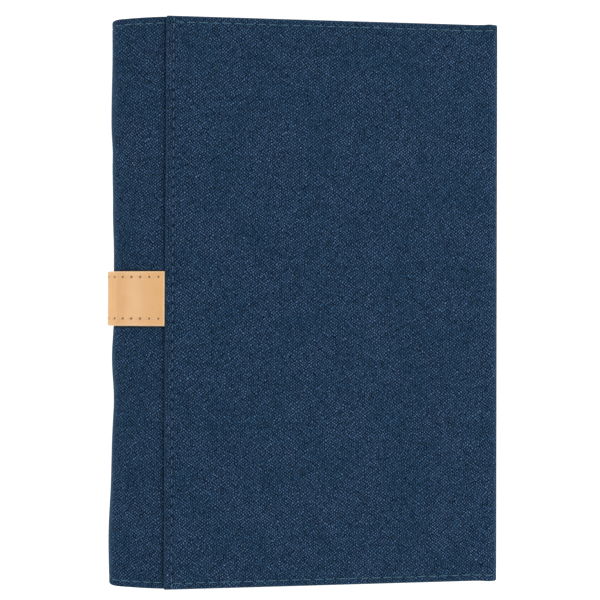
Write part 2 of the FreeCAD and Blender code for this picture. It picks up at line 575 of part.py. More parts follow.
def pen_loop():
    """A round loop of elastic on a sewn foot. Drawn with the foot's underside on the XY plane."""
    body = new_body("pen_loop")
    foot = new_sketch(body, "loop_sewn_foot", along="-Sizes.loop_foot / 2", up="-Sizes.loop_long / 2")
    rectangle(foot, "Sizes.loop_foot", "Sizes.loop_long")
    pad(body, foot, "Sizes.loop_elastic")
    axis_height = "Sizes.loop_bore / 2 + Sizes.loop_elastic"
    ring = new_sketch(body, "loop_ring", plane="XZ_Plane", up=axis_height)
    circle(ring, "Sizes.loop_bore + 2 * Sizes.loop_elastic")
    pad(body, ring, "Sizes.loop_long", symmetric=True)
    bore = new_sketch(body, "loop_bore", plane="XZ_Plane", up=axis_height)
    circle(bore, "Sizes.loop_bore")
    pocket(body, bore, f"{RUN_OUT} * Sizes.loop_long", symmetric=True)
    body.setExpression("Placement.Base.x", "Derived.seam_x + Sizes.loop_from_seam")
    body.setExpression("Placement.Base.y", "Sizes.loop_up")
    body.setExpression("Placement.Base.z", "Derived.zip_top")


pen_loop()

doc.recompute()
for thing in doc.Objects:
    if "Invalid" in thing.State or "Error" in thing.State:
        raise RuntimeError(f"{thing.Name} failed: {thing.State}")
for body in bodies:
    if body.Shape.isNull() or not body.Shape.isValid() or len(body.Shape.Solids) != 1:
        raise RuntimeError(f"{body.Label} is not one valid solid")
os.makedirs("parts", exist_ok=True)
for body in bodies:
    body.Shape.exportStep(f"parts/{body.Label}.step")
whole = Part.makeCompound([body.Shape for body in bodies])
print(f"{len(bodies)} pieces, {whole.BoundBox}, front cover tilted {derived.cover_tilt:.3f} degrees")
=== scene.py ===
import json
import math

import bmesh
import bpy
import numpy as np
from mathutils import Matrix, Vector


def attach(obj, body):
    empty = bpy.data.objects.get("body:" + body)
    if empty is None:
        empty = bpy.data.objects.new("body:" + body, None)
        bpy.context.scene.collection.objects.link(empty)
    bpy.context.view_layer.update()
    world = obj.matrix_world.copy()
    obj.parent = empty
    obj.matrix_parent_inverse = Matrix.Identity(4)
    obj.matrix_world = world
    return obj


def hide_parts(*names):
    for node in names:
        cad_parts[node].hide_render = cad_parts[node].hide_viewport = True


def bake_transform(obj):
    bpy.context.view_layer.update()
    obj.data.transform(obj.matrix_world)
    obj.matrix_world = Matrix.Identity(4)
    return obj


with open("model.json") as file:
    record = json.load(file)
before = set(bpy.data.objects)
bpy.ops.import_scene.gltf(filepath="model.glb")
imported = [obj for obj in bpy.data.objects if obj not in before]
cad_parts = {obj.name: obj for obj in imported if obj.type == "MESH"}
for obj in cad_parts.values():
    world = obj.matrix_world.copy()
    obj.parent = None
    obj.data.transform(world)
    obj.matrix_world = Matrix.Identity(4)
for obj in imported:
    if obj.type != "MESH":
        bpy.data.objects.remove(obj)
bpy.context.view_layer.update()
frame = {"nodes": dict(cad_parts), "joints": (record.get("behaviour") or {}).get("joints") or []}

# Lengths are millimetres until a mesh is made. A cover's own coordinates are u from the seam to the fore
# edge, y from the tail to the head, and the depth below its outer face. The spine's are the arc length
# from the back seam, y, and the depth below its outside.
MM = 0.001
rng = np.random.default_rng(7)


# What the frame says.

joint_at = {j["name"]: np.array(j["pos_m"]) / MM for j in frame["joints"] if "pos_m" in j}
FOLDS = ["back_seam_hinge", "spine_fold_1", "spine_fold_2", "spine_fold_3", "spine_fold_4",
         "front_seam_hinge"]
STRIPS = ["back_strip", "nose_1", "nose_2", "nose_3", "front_strip"]
SEAM_X = joint_at["back_seam_hinge"][0]
SPINE_HIGH = joint_at["front_seam_hinge"][2]
COVER_TILT = math.radians(3.7944)
SEAM_SLOPE = math.radians(5)
NOSE_SLOPE = math.radians(25)


def cad_points(node):
    mesh = frame["nodes"][node].data
    points = np.zeros(len(mesh.vertices) * 3, np.float32)
    mesh.vertices.foreach_get("co", points)
    return points.reshape(-1, 3).astype(float) / MM


class Cover:
    def __init__(self, body, seam_z, tilt, turned):
        self.body = body
        self.seam_z = seam_z
        self.up = -1.0 if turned else 1.0
        self.cos = math.cos(tilt)
        self.sin = math.sin(tilt)

    def place(self, u, y, depth):
        x = SEAM_X + u * self.cos - depth * self.sin
        z = self.seam_z + self.up * (u * self.sin + depth * self.cos)
        return settled(np.stack([x, y + 0 * x, z + 0 * x], axis=-1))

    def local_box(self, node):
        points = cad_points(node)
        x = points[:, 0] - SEAM_X
        z = (points[:, 2] - self.seam_z) * self.up
        u = x * self.cos + z * self.sin
        depth = -x * self.sin + z * self.cos
        local = np.stack([u, points[:, 1], depth], axis=-1)
        return local.min(0), local.max(0)


BACK = Cover("back_cover", 0.0, 0.0, False)
FRONT = Cover("front_cover", SPINE_HIGH, COVER_TILT, True)
COVERS = {"back": BACK, "front": FRONT}
panel_low, panel_high = BACK.local_box("back_cover_panel")
COVER_WIDE = panel_high[0] - panel_low[0]
COVER_HALF = panel_high[1]
COVER_THICK = panel_high[2]
band_across = cad_points("band_leather_nose_2")[:, 1]
BAND_Y = (band_across.min(), band_across.max())


def smooth(x, start, end):
    t = np.clip((x - start) / (end - start), 0, 1)
    return t * t * (3 - 2 * t)


def bell(x, width):
    """1 where x is 0, fading away on both sides."""
    return np.exp(-(x / width) ** 2)


# Softness of the front seam: it leans a little, and fades out over the cover and down the spine.
SEAM_LEAN = 0.45
LEAN_FADE = 60.0
LEAN_HEIGHTS = (6.0, 20.0)


def settled(points):
    x, y, z = points[..., 0], points[..., 1], points[..., 2]
    over_cover = 1 - smooth(x, SEAM_X, SEAM_X + LEAN_FADE)
    moved = points.copy()
    moved[..., 0] += SEAM_LEAN * y / COVER_HALF * over_cover * smooth(z, *LEAN_HEIGHTS)
    return moved


# The spine's outline: a strip beside each seam and the rounded nose between them.
STRIP_RADIUS = (np.hypot(*(joint_at["spine_fold_1"] - joint_at["back_seam_hinge"])[[0, 2]])
                / (2 * math.sin((NOSE_SLOPE - SEAM_SLOPE) / 2)))
NOSE_TURN = math.pi - 2 * NOSE_SLOPE
NOSE_STEP = NOSE_TURN / 3
NOSE_RADIUS = (np.hypot(*(joint_at["spine_fold_2"] - joint_at["spine_fold_1"])[[0, 2]])
               / (2 * math.sin(NOSE_STEP / 2)))
STRIP_LONG = STRIP_RADIUS * (NOSE_SLOPE - SEAM_SLOPE)
NOSE_LONG = NOSE_RADIUS * NOSE_TURN
SPINE_LONG = 2 * STRIP_LONG + NOSE_LONG
strip_centre = np.array([SEAM_X + STRIP_RADIUS * math.sin(SEAM_SLOPE), STRIP_RADIUS * math.cos(SEAM_SLOPE)])
nose_centre = np.array([strip_centre[0] - (STRIP_RADIUS - NOSE_RADIUS) * math.sin(NOSE_SLOPE),
                        SPINE_HIGH / 2])


def spine_place(s, y, depth):
    """A point of the spine at arc length s from the back seam."""
    parts = [s < STRIP_LONG, s > STRIP_LONG + NOSE_LONG]
    angle = np.select(parts, [SEAM_SLOPE + s / STRIP_RADIUS,
                              math.pi - NOSE_SLOPE + (s - STRIP_LONG - NOSE_LONG) / STRIP_RADIUS],
                      NOSE_SLOPE + (s - STRIP_LONG) / NOSE_RADIUS)
    radius = np.select(parts, [STRIP_RADIUS, STRIP_RADIUS], NOSE_RADIUS)
    centre_x = np.select(parts, [strip_centre[0], strip_centre[0]], nose_centre[0])
    centre_z = np.select(parts, [strip_centre[1], SPINE_HIGH - strip_centre[1]], nose_centre[1])
    x = centre_x - (radius - depth) * np.sin(angle)
    z = centre_z - (radius - depth) * np.cos(angle)
    return settled(np.stack([x, y + 0 * x, z], axis=-1))


FOLD_AT = [0, STRIP_LONG, STRIP_LONG + NOSE_LONG / 3, STRIP_LONG + 2 * NOSE_LONG / 3,
           STRIP_LONG + NOSE_LONG, SPINE_LONG]
# the cloth between two folds is shared out at its middle
SHARED_AT = [0, STRIP_LONG / 2, STRIP_LONG + NOSE_LONG / 6, STRIP_LONG + NOSE_LONG / 2,
             STRIP_LONG + 5 * NOSE_LONG / 6, SPINE_LONG - STRIP_LONG / 2, SPINE_LONG]
FOLD_REACH = 1.8
SEAM_REACH = 4.0


# Meshes.

# where grid lines stand beside an edge, in shares of its reach, and beside a border that two pieces share
EDGE_LINES = (0.03, 0.12, 0.27, 0.48, 0.72, 1.0)
SHARED_LINES = (-0.15, -0.04, 0.04, 0.15)
LEAST_STEP = 0.02


def grid_lines(start, stop, step, fine=(), edge=0.0, shared=()):
    """Coordinates from start to stop, closer together round the fine places, by the edges and at an end
    that is shared with the next piece."""
    lines = list(np.linspace(start, stop, max(2, round((stop - start) / step) + 1)))
    for at, reach, fine_step in fine:
        count = round(2 * reach / fine_step) + 1
        lines = [x for x in lines if not at - reach < x < at + reach or x in (start, stop)]
        lines += list(np.linspace(at - reach, at + reach, count))
    if edge:
        near = [x * edge for x in EDGE_LINES]
        lines = [x for x in lines if start + edge < x < stop - edge]
        lines += [start, stop] + [start + x for x in near] + [stop - x for x in near]
    for at in shared:
        lines += [at + away for away in SHARED_LINES]
    lines = np.unique(np.round([x for x in lines if start <= x <= stop], 4))
    keep = np.concatenate([[True], np.diff(lines) > LEAST_STEP])
    keep[-1] = True
    return lines[keep]


def box_grid(low, high, steps, edge=0.0, fine=((), ())):
    """Grid lines both ways over a box."""
    return [grid_lines(low[way], high[way], steps[way], fine[way], edge) for way in (0, 1)]


def fall(distance, radius, full):
    """How far a rounded edge falls away at a distance from the border."""
    share = np.clip(1 - distance / radius, 0, 1)
    return full * (1 - np.sqrt(1 - share ** 2))


def rounded(depth, reach, turned):
    """A flat face at a depth, whose rim turns away from it."""
    return lambda U, Y, side: depth + fall(side, reach, turned)


def add_object(name, data):
    made = bpy.data.objects.new(name, data)
    bpy.context.scene.collection.objects.link(made)
    return made


def finish_mesh(name, points, faces, material, uv, values=None):
    mesh = bpy.data.meshes.new(name)
    mesh.from_pydata((points * MM).tolist(), [], faces)
    shaping = bmesh.new()
    shaping.from_mesh(mesh)
    bmesh.ops.recalc_face_normals(shaping, faces=shaping.faces)
    shaping.to_mesh(mesh)
    shaping.free()
    mesh.shade_smooth()
    corner = np.zeros(len(mesh.loops), np.int32)
    mesh.loops.foreach_get("vertex_index", corner)
    layer = mesh.uv_layers.new(name="cloth")
    layer.data.foreach_set("uv", uv[corner].astype(np.float32).ravel())
    for key, value in (values or {}).items():
        attribute = mesh.attributes.new(key, "FLOAT", "POINT")
        attribute.data.foreach_set("value", value.astype(np.float32))
    mesh.materials.append(material)
    return add_object(name, mesh)


def run_along(points):
    """How far each point of a line of points lies along it."""
    return np.concatenate([[0], np.cumsum(np.linalg.norm(np.diff(points, axis=0), axis=1))])


def cloth_piece(name, us, ys, outer, inner, place, material, corner=0.0, window=None, values=None,
                open_ends=(False, False), folded=(False, False)):
    """A closed sheet over a grid. outer and inner give the depth of its two faces, and window takes cells
    out. An open end is one where the same cloth goes on. Its map runs in millimetres along the cloth, and
    where the cloth is folded over it runs on round the fold."""
    U, Y = np.meshgrid(us, ys, indexing="ij")
    from_side = np.minimum(np.minimum(U - us[0], us[-1] - U), np.minimum(Y - ys[0], ys[-1] - Y))
    top = outer(U, Y, from_side)
    bottom = inner(U, Y, from_side)
    flat_u, flat_y = (U, Y) if not corner else round_corners(U, Y, us, ys, corner)
    points = np.concatenate([place(flat_u, flat_y, top).reshape(-1, 3),
                             place(flat_u, flat_y, bottom).reshape(-1, 3)])
    rows, columns = len(us), len(ys)
    kept = np.ones((rows - 1, columns - 1), bool)
    if window is not None:
        kept = ~window((us[:-1] + us[1:])[:, None] / 2, (ys[:-1] + ys[1:])[None, :] / 2)
    index = np.arange(rows * columns).reshape(rows, columns)
    under = index + rows * columns
    i, j = np.nonzero(kept)
    upper = np.stack([index[i, j], index[i + 1, j], index[i + 1, j + 1], index[i, j + 1]], 1)
    faces = upper.tolist() + (upper[:, [0, 3, 2, 1]] + rows * columns).tolist()
    fenced = np.zeros((rows + 1, columns + 1), bool)
    fenced[1:-1, 1:-1] = kept
    for di, dj, ends in ((-1, 0, ((0, 0), (0, 1))), (1, 0, ((1, 1), (1, 0))),
                         (0, -1, ((1, 0), (0, 0))), (0, 1, ((0, 1), (1, 1)))):
        open_side = kept & ~fenced[1 + di:rows + di, 1 + dj:columns + dj]
        if di and open_ends[di > 0]:
            open_side[0 if di < 0 else -1, :] = False
        a, b = np.nonzero(open_side)
        (p, q), (r, t) = ends
        faces += np.stack([index[a + p, b + q], index[a + r, b + t],
                           under[a + r, b + t], under[a + p, b + q]], 1).tolist()
    along_u = us[0] + run_along(place(us, np.full(rows, ys[columns // 2]), top[:, columns // 2]))
    along_y = ys[0] + run_along(place(np.full(columns, us[rows // 2]), ys, top[rows // 2, :]))
    flat = np.stack(np.meshgrid(along_u, along_y, indexing="ij"), -1).reshape(-1, 2)
    lowest, highest = flat.min(0), flat.max(0)
    nearest = np.where(flat < (lowest + highest) / 2, lowest, highest)
    uv = np.concatenate([flat, np.where(folded, 2 * nearest - flat, flat)])
    masks = {key: np.tile((mask(U, Y) + 0 * U).ravel(), 2) for key, mask in (values or {}).items()}
    return finish_mesh(name, points, faces, material, uv, masks)


def round_corners(U, Y, us, ys, radius):
    """Draws the square corners of a grid in to quarter circles."""
    a, b = (np.clip(radius - (at - lines[0]), 0, None) - np.clip(radius - (lines[-1] - at), 0, None)
            for at, lines in ((U, us), (Y, ys)))
    longest = np.maximum(np.abs(a), np.abs(b))
    scale = np.where(np.hypot(a, b) > 0, longest / np.maximum(np.hypot(a, b), 1e-9), 1)
    return U + a * (1 - scale), Y + b * (1 - scale)


def tube_faces(start, rings, sides):
    """The faces of a tube of point rings, closed at both ends."""
    index = start + np.arange(rings * sides).reshape(rings, sides)
    after = np.roll(index, -1, axis=1)
    wall = np.stack([index[:-1], after[:-1], after[1:], index[1:]], -1).reshape(-1, 4)
    return wall.tolist() + [index[0, ::-1].tolist(), index[-1].tolist()]


STITCH_RINGS = 9
STITCH_SIDES = 8
STITCH_SWAY = 0.04


def stitch_piece(name, stitches, place, side, thick, material, sink=0.25, proud=0.2):
    """Sewn stitches: each is a short soft length of thread whose ends dip into the cloth. A stitch is its
    two ends and the cloth's depth there. side is -1 where the outer face shows and 1 where the inner does."""
    points, faces, uv = [], [], []
    t = np.linspace(0, 1, STITCH_RINGS)
    turn = np.linspace(0, 2 * math.pi, STITCH_SIDES, endpoint=False)
    arch = np.sin(math.pi * t)
    lift = side * (-sink + (sink + proud) * arch ** 0.6)
    radius = thick / 2 * (0.45 + 0.55 * arch ** 0.5)
    for (u0, y0), (u1, y1), depth in stitches:
        along = np.array([u1 - u0, y1 - y0])
        long = np.hypot(*along)
        across = np.array([-along[1], along[0]]) / long
        sway = rng.normal(0, STITCH_SWAY, 2)
        centre_u = u0 + along[0] * t + sway[0]
        centre_y = y0 + along[1] * t + sway[1]
        ring_u = centre_u[:, None] + across[0] * radius[:, None] * np.cos(turn)
        ring_y = centre_y[:, None] + across[1] * radius[:, None] * np.cos(turn)
        ring_depth = depth + lift[:, None] + 0.8 * radius[:, None] * np.sin(turn)
        faces += tube_faces(len(points) * STITCH_RINGS * STITCH_SIDES, STITCH_RINGS, STITCH_SIDES)
        points.append(place(ring_u, ring_y, ring_depth).reshape(-1, 3))
        uv.append(np.stack([np.repeat(t * long, STITCH_SIDES),
                            np.tile(turn * thick / 2, STITCH_RINGS)], 1))
    return finish_mesh(name, np.concatenate(points), faces, material, np.concatenate(uv))


def stitches_along(start, end, pitch, dash, depth=0.0):
    """Evenly pitched stitches from start to end, in a piece's own coordinates."""
    start, end = np.array(start, float), np.array(end, float)
    long = np.linalg.norm(end - start)
    count = max(1, round(long / pitch))
    step = (end - start) / count
    made = []
    for number in range(count):
        middle = start + step * (number + 0.5)
        half = step * dash / pitch / 2
        made.append((tuple(middle - half), tuple(middle + half), depth))
    return made


# Materials.

def srgb(red, green, blue):
    linear = [c / 12.92 if c <= 0.04045 else ((c + 0.055) / 1.055) ** 2.4
              for c in (red / 255, green / 255, blue / 255)]
    return (*linear, 1.0)


class Shader:
    """A material and the nodes that it is made of."""

    def __init__(self, name, **constants):
        self.material = bpy.data.materials.new(name)
        self.material.use_nodes = True
        self.tree = self.material.node_tree
        self.surface = self.tree.nodes["Principled BSDF"]
        for socket, value in constants.items():
            self.surface.inputs[socket.replace("_", " ")].default_value = value

    def node(self, kind, inputs=None, **settings):
        made = self.tree.nodes.new(kind)
        for key, value in settings.items():
            setattr(made, key, value)
        for socket, value in (inputs or {}).items():
            self.feed(made.inputs[socket], value)
        return made

    def feed(self, socket, value):
        if isinstance(value, bpy.types.NodeSocket):
            self.tree.links.new(value, socket)
        else:
            socket.default_value = value

    def drive(self, socket, value):
        """Feeds a socket of the surface itself."""
        self.feed(self.surface.inputs[socket], value)

    def math(self, operation, a, b=0.0, clamp=False):
        return self.node("ShaderNodeMath", {0: a, 1: b}, operation=operation, use_clamp=clamp).outputs[0]

    def times(self, a, b):
        return self.math("MULTIPLY", a, b)

    def plus(self, a, b, clamp=False):
        return self.math("ADD", a, b, clamp)

    def sine(self, value, rate):
        return self.math("SINE", self.times(value, rate))

    def scaled(self, vector, factors):
        return self.node("ShaderNodeVectorMath", {0: vector, 1: factors}, operation="MULTIPLY").outputs[0]

    def mix(self, share, a, b):
        return self.node("ShaderNodeMix", {"Factor": share, 6: a, 7: b}, data_type="RGBA").outputs[2]

    def spread(self, value, low, high, to_low=0.0, to_high=1.0):
        return self.node("ShaderNodeMapRange", {"Value": value, "From Min": low, "From Max": high,
                                                "To Min": to_low, "To Max": to_high}).outputs["Result"]

    def vector(self, x, y, z=0.0):
        return self.node("ShaderNodeCombineXYZ", {0: x, 1: y, 2: z}).outputs[0]

    def noise(self, vector, scale, detail):
        made = self.node("ShaderNodeTexNoise", {"Vector": vector, "Scale": scale, "Detail": detail})
        return made.outputs["Fac"]

    def mask(self, name):
        """A value that the mesh holds at each of its points."""
        return self.node("ShaderNodeAttribute", attribute_name=name).outputs["Fac"]

    def cloth_map(self):
        made = self.node("ShaderNodeUVMap", uv_map="cloth")
        parts = self.node("ShaderNodeSeparateXYZ", {"Vector": made.outputs[0]})
        return made.outputs[0], parts.outputs[0], parts.outputs[1]

    def bump(self, height, distance, strength):
        made = self.node("ShaderNodeBump", {"Height": height, "Distance": distance, "Strength": strength})
        self.drive("Normal", made.outputs[0])


# how far yarns wander from their even places, in yarns, and how quickly
SWAY = 1.8
SWAY_SCALE = 0.5
# hairs in a yarn, per millimetre
HAIRS_ACROSS = 10.0
HAIRS_ALONG = 2.0
# how quickly a yarn's shade changes from one yarn to the next, and along it
SLUB_ACROSS = 7.31
SLUB_ALONG = 0.4
# painted shade: cloth is darkened to this where a needle has drawn the thread down into it, for the shade in
# that dip
NEEDLE_SHADE = srgb(2, 18, 36)


def woven(name, warp_colour, weft_colour, tint, pitches, heather, gap, mottle, uneven=0.2,
          **constants):
    """Plain weave of heather yarns. warp_colour and weft_colour are the darkest and lightest shade of a
    yarn, and pitches are the warp's across u and the weft's across v."""
    s = Shader(name, **constants)
    where, u, v = s.cloth_map()
    warp_hairs = s.vector(s.times(u, HAIRS_ACROSS), s.times(v, HAIRS_ALONG), 3.0)
    weft_hairs = s.vector(s.times(u, HAIRS_ALONG), s.times(v, HAIRS_ACROSS), 7.0)
    sway_u = s.times(s.noise(where, SWAY_SCALE, 0.0), SWAY)
    sway_v = s.times(s.noise(s.vector(v, u, 5.0), SWAY_SCALE, 0.0), SWAY)
    u = s.plus(s.math("DIVIDE", u, pitches[0]), sway_u)
    v = s.plus(s.math("DIVIDE", v, pitches[1]), sway_v)
    cell_u, cell_v = s.math("FLOOR", u), s.math("FLOOR", v)
    parity = s.math("FLOORED_MODULO", s.plus(cell_u, cell_v), 2.0)
    over = s.math("SUBTRACT", parity, 0.5)
    round_u = s.sine(s.math("FRACT", u), math.pi)
    round_v = s.sine(s.math("FRACT", v), math.pi)
    warp = s.times(round_u, s.plus(0.5, s.times(over, round_v)))
    weft = s.times(round_v, s.math("SUBTRACT", 0.5, s.times(over, round_u)))
    height = s.math("MAXIMUM", warp, weft)
    is_warp = s.math("GREATER_THAN", warp, weft)
    shades = []
    for across, along, colours, place in ((cell_u, v, warp_colour, 0.0), (cell_v, u, weft_colour, 9.0)):
        slub = s.noise(s.vector(s.times(across, SLUB_ACROSS), s.times(along, SLUB_ALONG), place), 1.0, 3.0)
        shades.append(s.mix(s.spread(slub, 0.5 - heather, 0.5 + heather), *colours))
    colour = s.mix(is_warp, shades[1], shades[0])
    nub = s.node("ShaderNodeTexWhiteNoise", {"Vector": s.vector(cell_u, cell_v)}, noise_dimensions="3D")
    patches = s.spread(s.noise(where, 0.055, 3.0), 0.35, 0.65)
    colour = s.mix(s.times(patches, mottle), colour, tint)
    # painted shade: yarns darken down to gap where the weave dips between them, and each yarn's tone and its
    # hairs then vary this at random
    weave_shade_and_tone = s.spread(height, 0.15, 0.85, gap, 1.0)
    weave_shade_and_tone = s.times(weave_shade_and_tone, s.spread(nub.outputs["Value"], 0.0, 1.0, 1.0 - uneven, 1.0 + uneven))
    hairs = s.noise(s.mix(is_warp, weft_hairs, warp_hairs), 1.0, 2.0)
    weave_shade_and_tone = s.times(weave_shade_and_tone, s.spread(hairs, 0.3, 0.7, 0.7, 1.3))
    colour = s.scaled(colour, s.vector(weave_shade_and_tone, weave_shade_and_tone, weave_shade_and_tone))
    # painted shade in the needle holes, where the mesh's hole mask marks them
    s.drive("Base Color", s.mix(s.mask("hole"), colour, NEEDLE_SHADE))
    s.bump(height, 0.16 * MM, 0.6)
    return s.material


def leather(name, base, warm, pale, hole_shade, **constants):
    """Smooth vegetable-tanned leather: fine grain, soft blotches, paler cut edges, painted shade in the
    needle holes.
    """
    s = Shader(name, **constants)
    where = s.cloth_map()[0]
    blotch = s.spread(s.noise(where, 0.16, 3.0), 0.3, 0.7)
    colour = s.mix(blotch, base, warm)
    fibres = s.noise(where, 3.2, 4.0)
    colour = s.mix(s.spread(fibres, 0.52, 0.75, 0.0, 0.22), colour, pale)
    colour = s.mix(s.times(s.mask("edge"), 0.6), colour, pale)
    # painted shade in the needle holes
    s.drive("Base Color", s.mix(s.mask("hole"), colour, hole_shade))
    cells = s.node("ShaderNodeTexVoronoi", {"Vector": where, "Scale": 2.2}, feature="DISTANCE_TO_EDGE")
    grain = s.plus(s.spread(cells.outputs["Distance"], 0.0, 0.12), s.times(fibres, 0.6))
    s.bump(grain, 0.03 * MM, 0.15)
    s.drive("Roughness", s.spread(fibres, 0.3, 0.7, 0.2, 0.26))
    return s.material


THREAD_TWIST = 0.35


def thread(name, colour, highlight, **constants):
    """Twisted sewing thread."""
    s = Shader(name, **constants)
    u, v = s.cloth_map()[1:]
    twist = s.sine(s.plus(u, v), 2 * math.pi / THREAD_TWIST)
    s.drive("Base Color", s.mix(s.spread(twist, -1, 1), colour, highlight))
    s.bump(twist, 0.03 * MM, 0.6)
    return s.material


def ribbed(name, colour, highlight, pitch, slant=0.0, **constants):
    """Tape, elastic or twill with fine ribs across v. slant turns them into a herringbone of that half
    width."""
    s = Shader(name, **constants)
    where, along, across = s.cloth_map()
    if slant:
        across = s.plus(across, s.math("PINGPONG", along, slant))
    rib = s.spread(s.sine(across, 2 * math.pi / pitch), -1, 1)
    pick = s.spread(s.sine(along, 2 * math.pi / (0.7 * pitch)), -1, 1, 0.7, 1.0)
    height = s.times(rib, pick)
    speck = s.spread(s.noise(where, 2.2, 3.0), 0.3, 0.7, -0.15, 0.35)
    s.drive("Base Color", s.mix(s.plus(s.times(height, 0.6), speck, True), colour, highlight))
    s.bump(height, 0.1 * MM, 0.7)
    return s.material


def solid_surface(name, colour, worn, grain, rough, bump, **constants):
    """A rigid part's finish, laid on through the solid: two shades mixed by a cloudy noise."""
    s = Shader(name, **constants)
    where = s.scaled(s.node("ShaderNodeTexCoord").outputs["Object"], (1 / MM, 1 / MM, 1 / MM))
    clouds = s.noise(where, grain, 5.0)
    s.drive("Base Color", s.mix(s.spread(clouds, 0.35, 0.65), colour, worn))
    s.drive("Roughness", s.spread(clouds, 0.3, 0.7, *rough))
    s.bump(s.noise(where, grain * 5, 3.0), bump * MM, 0.5)
    return s.material


def clear_film(name, **constants):
    """Clear soft plastic film, faintly wavy."""
    s = Shader(name, **constants)
    haze = s.noise(s.cloth_map()[0], 0.2, 3.0)
    s.drive("Roughness", s.spread(haze, 0.3, 0.7, 0.05, 0.16))
    s.drive("Base Color", s.mix(haze, srgb(224, 232, 236), srgb(240, 244, 246)))
    s.bump(haze, 0.2 * MM, 0.3)
    return s.material


FABRIC = woven("heather_fabric", (srgb(60, 90, 123), srgb(83, 113, 145)),
               (srgb(8, 33, 64), srgb(17, 48, 85)), srgb(10, 60, 87), (0.74, 0.60), 0.16,
               gap=0.1, mottle=0.3, uneven=0.42, Roughness=0.85, Sheen_Weight=0.4, Sheen_Roughness=0.4,
               Sheen_Tint=srgb(148, 200, 230), Specular_IOR_Level=0.04)
LINING = woven("lining_cloth", (srgb(60, 68, 79), srgb(70, 79, 90)), (srgb(46, 54, 64), srgb(58, 66, 76)),
               srgb(52, 64, 76), (0.3, 0.3), 0.3, 0.75, 0.2, Roughness=0.6, Sheen_Weight=0.1)
LEATHER = leather("tan_leather", srgb(231, 178, 120), srgb(236, 184, 127), srgb(242, 212, 174),
                  srgb(64, 36, 20), Specular_IOR_Level=0.38)
EDGE_THREAD = thread("edge_thread", srgb(52, 96, 117), srgb(84, 130, 149), Roughness=0.6)
SEAM_THREAD = thread("seam_thread", srgb(38, 68, 99), srgb(58, 88, 119), Roughness=0.7)
BAND_THREAD = thread("band_thread", srgb(238, 196, 142), srgb(250, 218, 174), Roughness=0.5)
POCKET_WEAVE = {"gap": 0.6, "mottle": 0.2, "uneven": 0.12, "Roughness": 0.6, "Sheen_Weight": 0.08,
                "Specular_IOR_Level": 0.3}
POCKET_CLOTH = woven("pocket_cloth", (srgb(40, 56, 78), srgb(56, 74, 98)),
                     (srgb(16, 26, 42), srgb(28, 40, 58)), srgb(30, 48, 66), (0.32, 0.32), 0.25,
                     **POCKET_WEAVE)
CARD_CLOTH = woven("card_cloth", (srgb(58, 78, 102), srgb(74, 94, 118)),
                   (srgb(34, 50, 70), srgb(46, 62, 84)), srgb(52, 74, 94), (0.3, 0.3), 0.25, **POCKET_WEAVE)
BINDING_TAPE = ribbed("binding_tape", srgb(18, 28, 44), srgb(44, 58, 80), 0.55, Roughness=0.55)
ZIP_TAPE = ribbed("zip_tape", srgb(20, 30, 46), srgb(46, 60, 84), 0.7, slant=1.6, Roughness=0.65)
ELASTIC = ribbed("elastic", srgb(24, 38, 58), srgb(54, 74, 100), 1.2, Roughness=0.7, Sheen_Weight=0.1)
ZIP_COIL = thread("zip_coil", srgb(30, 40, 58), srgb(44, 56, 76), Roughness=0.35)
INSIDE_THREAD = thread("inside_thread", srgb(62, 84, 108), srgb(98, 122, 146), Roughness=0.55)
TAB_LEATHER = leather("tab_leather", srgb(206, 152, 100), srgb(214, 162, 110), srgb(224, 190, 152),
                      srgb(84, 50, 28), Specular_IOR_Level=0.45)
BRASS = solid_surface("antique_brass", srgb(204, 170, 108), srgb(160, 128, 78), 0.35, (0.22, 0.36), 0.01,
                      Metallic=1.0)
BOARD = solid_surface("grey_board", srgb(150, 144, 134), srgb(116, 110, 102), 0.9, (0.8, 0.95), 0.06)
FILM = clear_film("window_film", Alpha=0.1, Specular_IOR_Level=0.8)


# Pieces and the nodes that they stand for.

def add_to(cover, node, *pieces):
    for piece in pieces:
        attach(piece, cover.body)
        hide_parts(node)


# Covers.

EDGE_STITCH = 2.8
SEAM_STITCH = 3.2
EDGE_PITCH = 4.75
EDGE_DASH = 3.7
EDGE_THICK = 0.36
SEAM_PITCH = 3.9
SEAM_DASH = 2.9
SEAM_THICK = 0.5
# how deep the middle of a stitch lies in the channel of its row
ROW_DEPTH = 0.12
HOLE_WIDE = 0.45
HOLE_LONG = 0.5
STITCH_END = 1.4
# reach and step of the finer grid along a row of stitches
ROW_FINE = (1.4, 0.35)
FABRIC_THICK = 0.9
# the folded fabric stands a little proud of the board at the fore edge, and its face falls off softly
FORE_EASE = 0.8
FORE_SOFT = 4.5
SEAM_INSET = 0.2
COVER_CORNER = 0.7
# the folds of cloth at a fore corner swell it a little
CORNER_SWELL = 0.4
TACK_STITCHES = ((0.9, 2.7), (3.1, 4.9))
TACK_DEPTH = 0.05
WAVE_SEEDS = {"back": 4, "front": 5}


def waves(U, Y, seed):
    """Slow unevenness of a hand-made soft face, about 1 from trough to crest."""
    a, b, c, d = np.random.default_rng(seed).uniform(0, 6.28, 4)
    return (0.35 * np.sin(U / 21 + Y / 47 + a) + 0.3 * np.sin(Y / 17 - U / 61 + b)
            + 0.2 * np.sin(U / 9.5 + c) * np.sin(Y / 13 + d))


def from_nearest(along, pitch):
    """How far a place lies from the nearest of evenly pitched holes."""
    return (along / pitch - np.round(along / pitch)) * pitch


def groove(distance, along, pitch, deep=0.2, hole=0.22):
    """The channel that a row of stitches pulls into cloth, deeper at each needle hole."""
    return deep * bell(distance, 0.55) + hole * bell(distance, 0.5) * bell(from_nearest(along, pitch), 0.5)


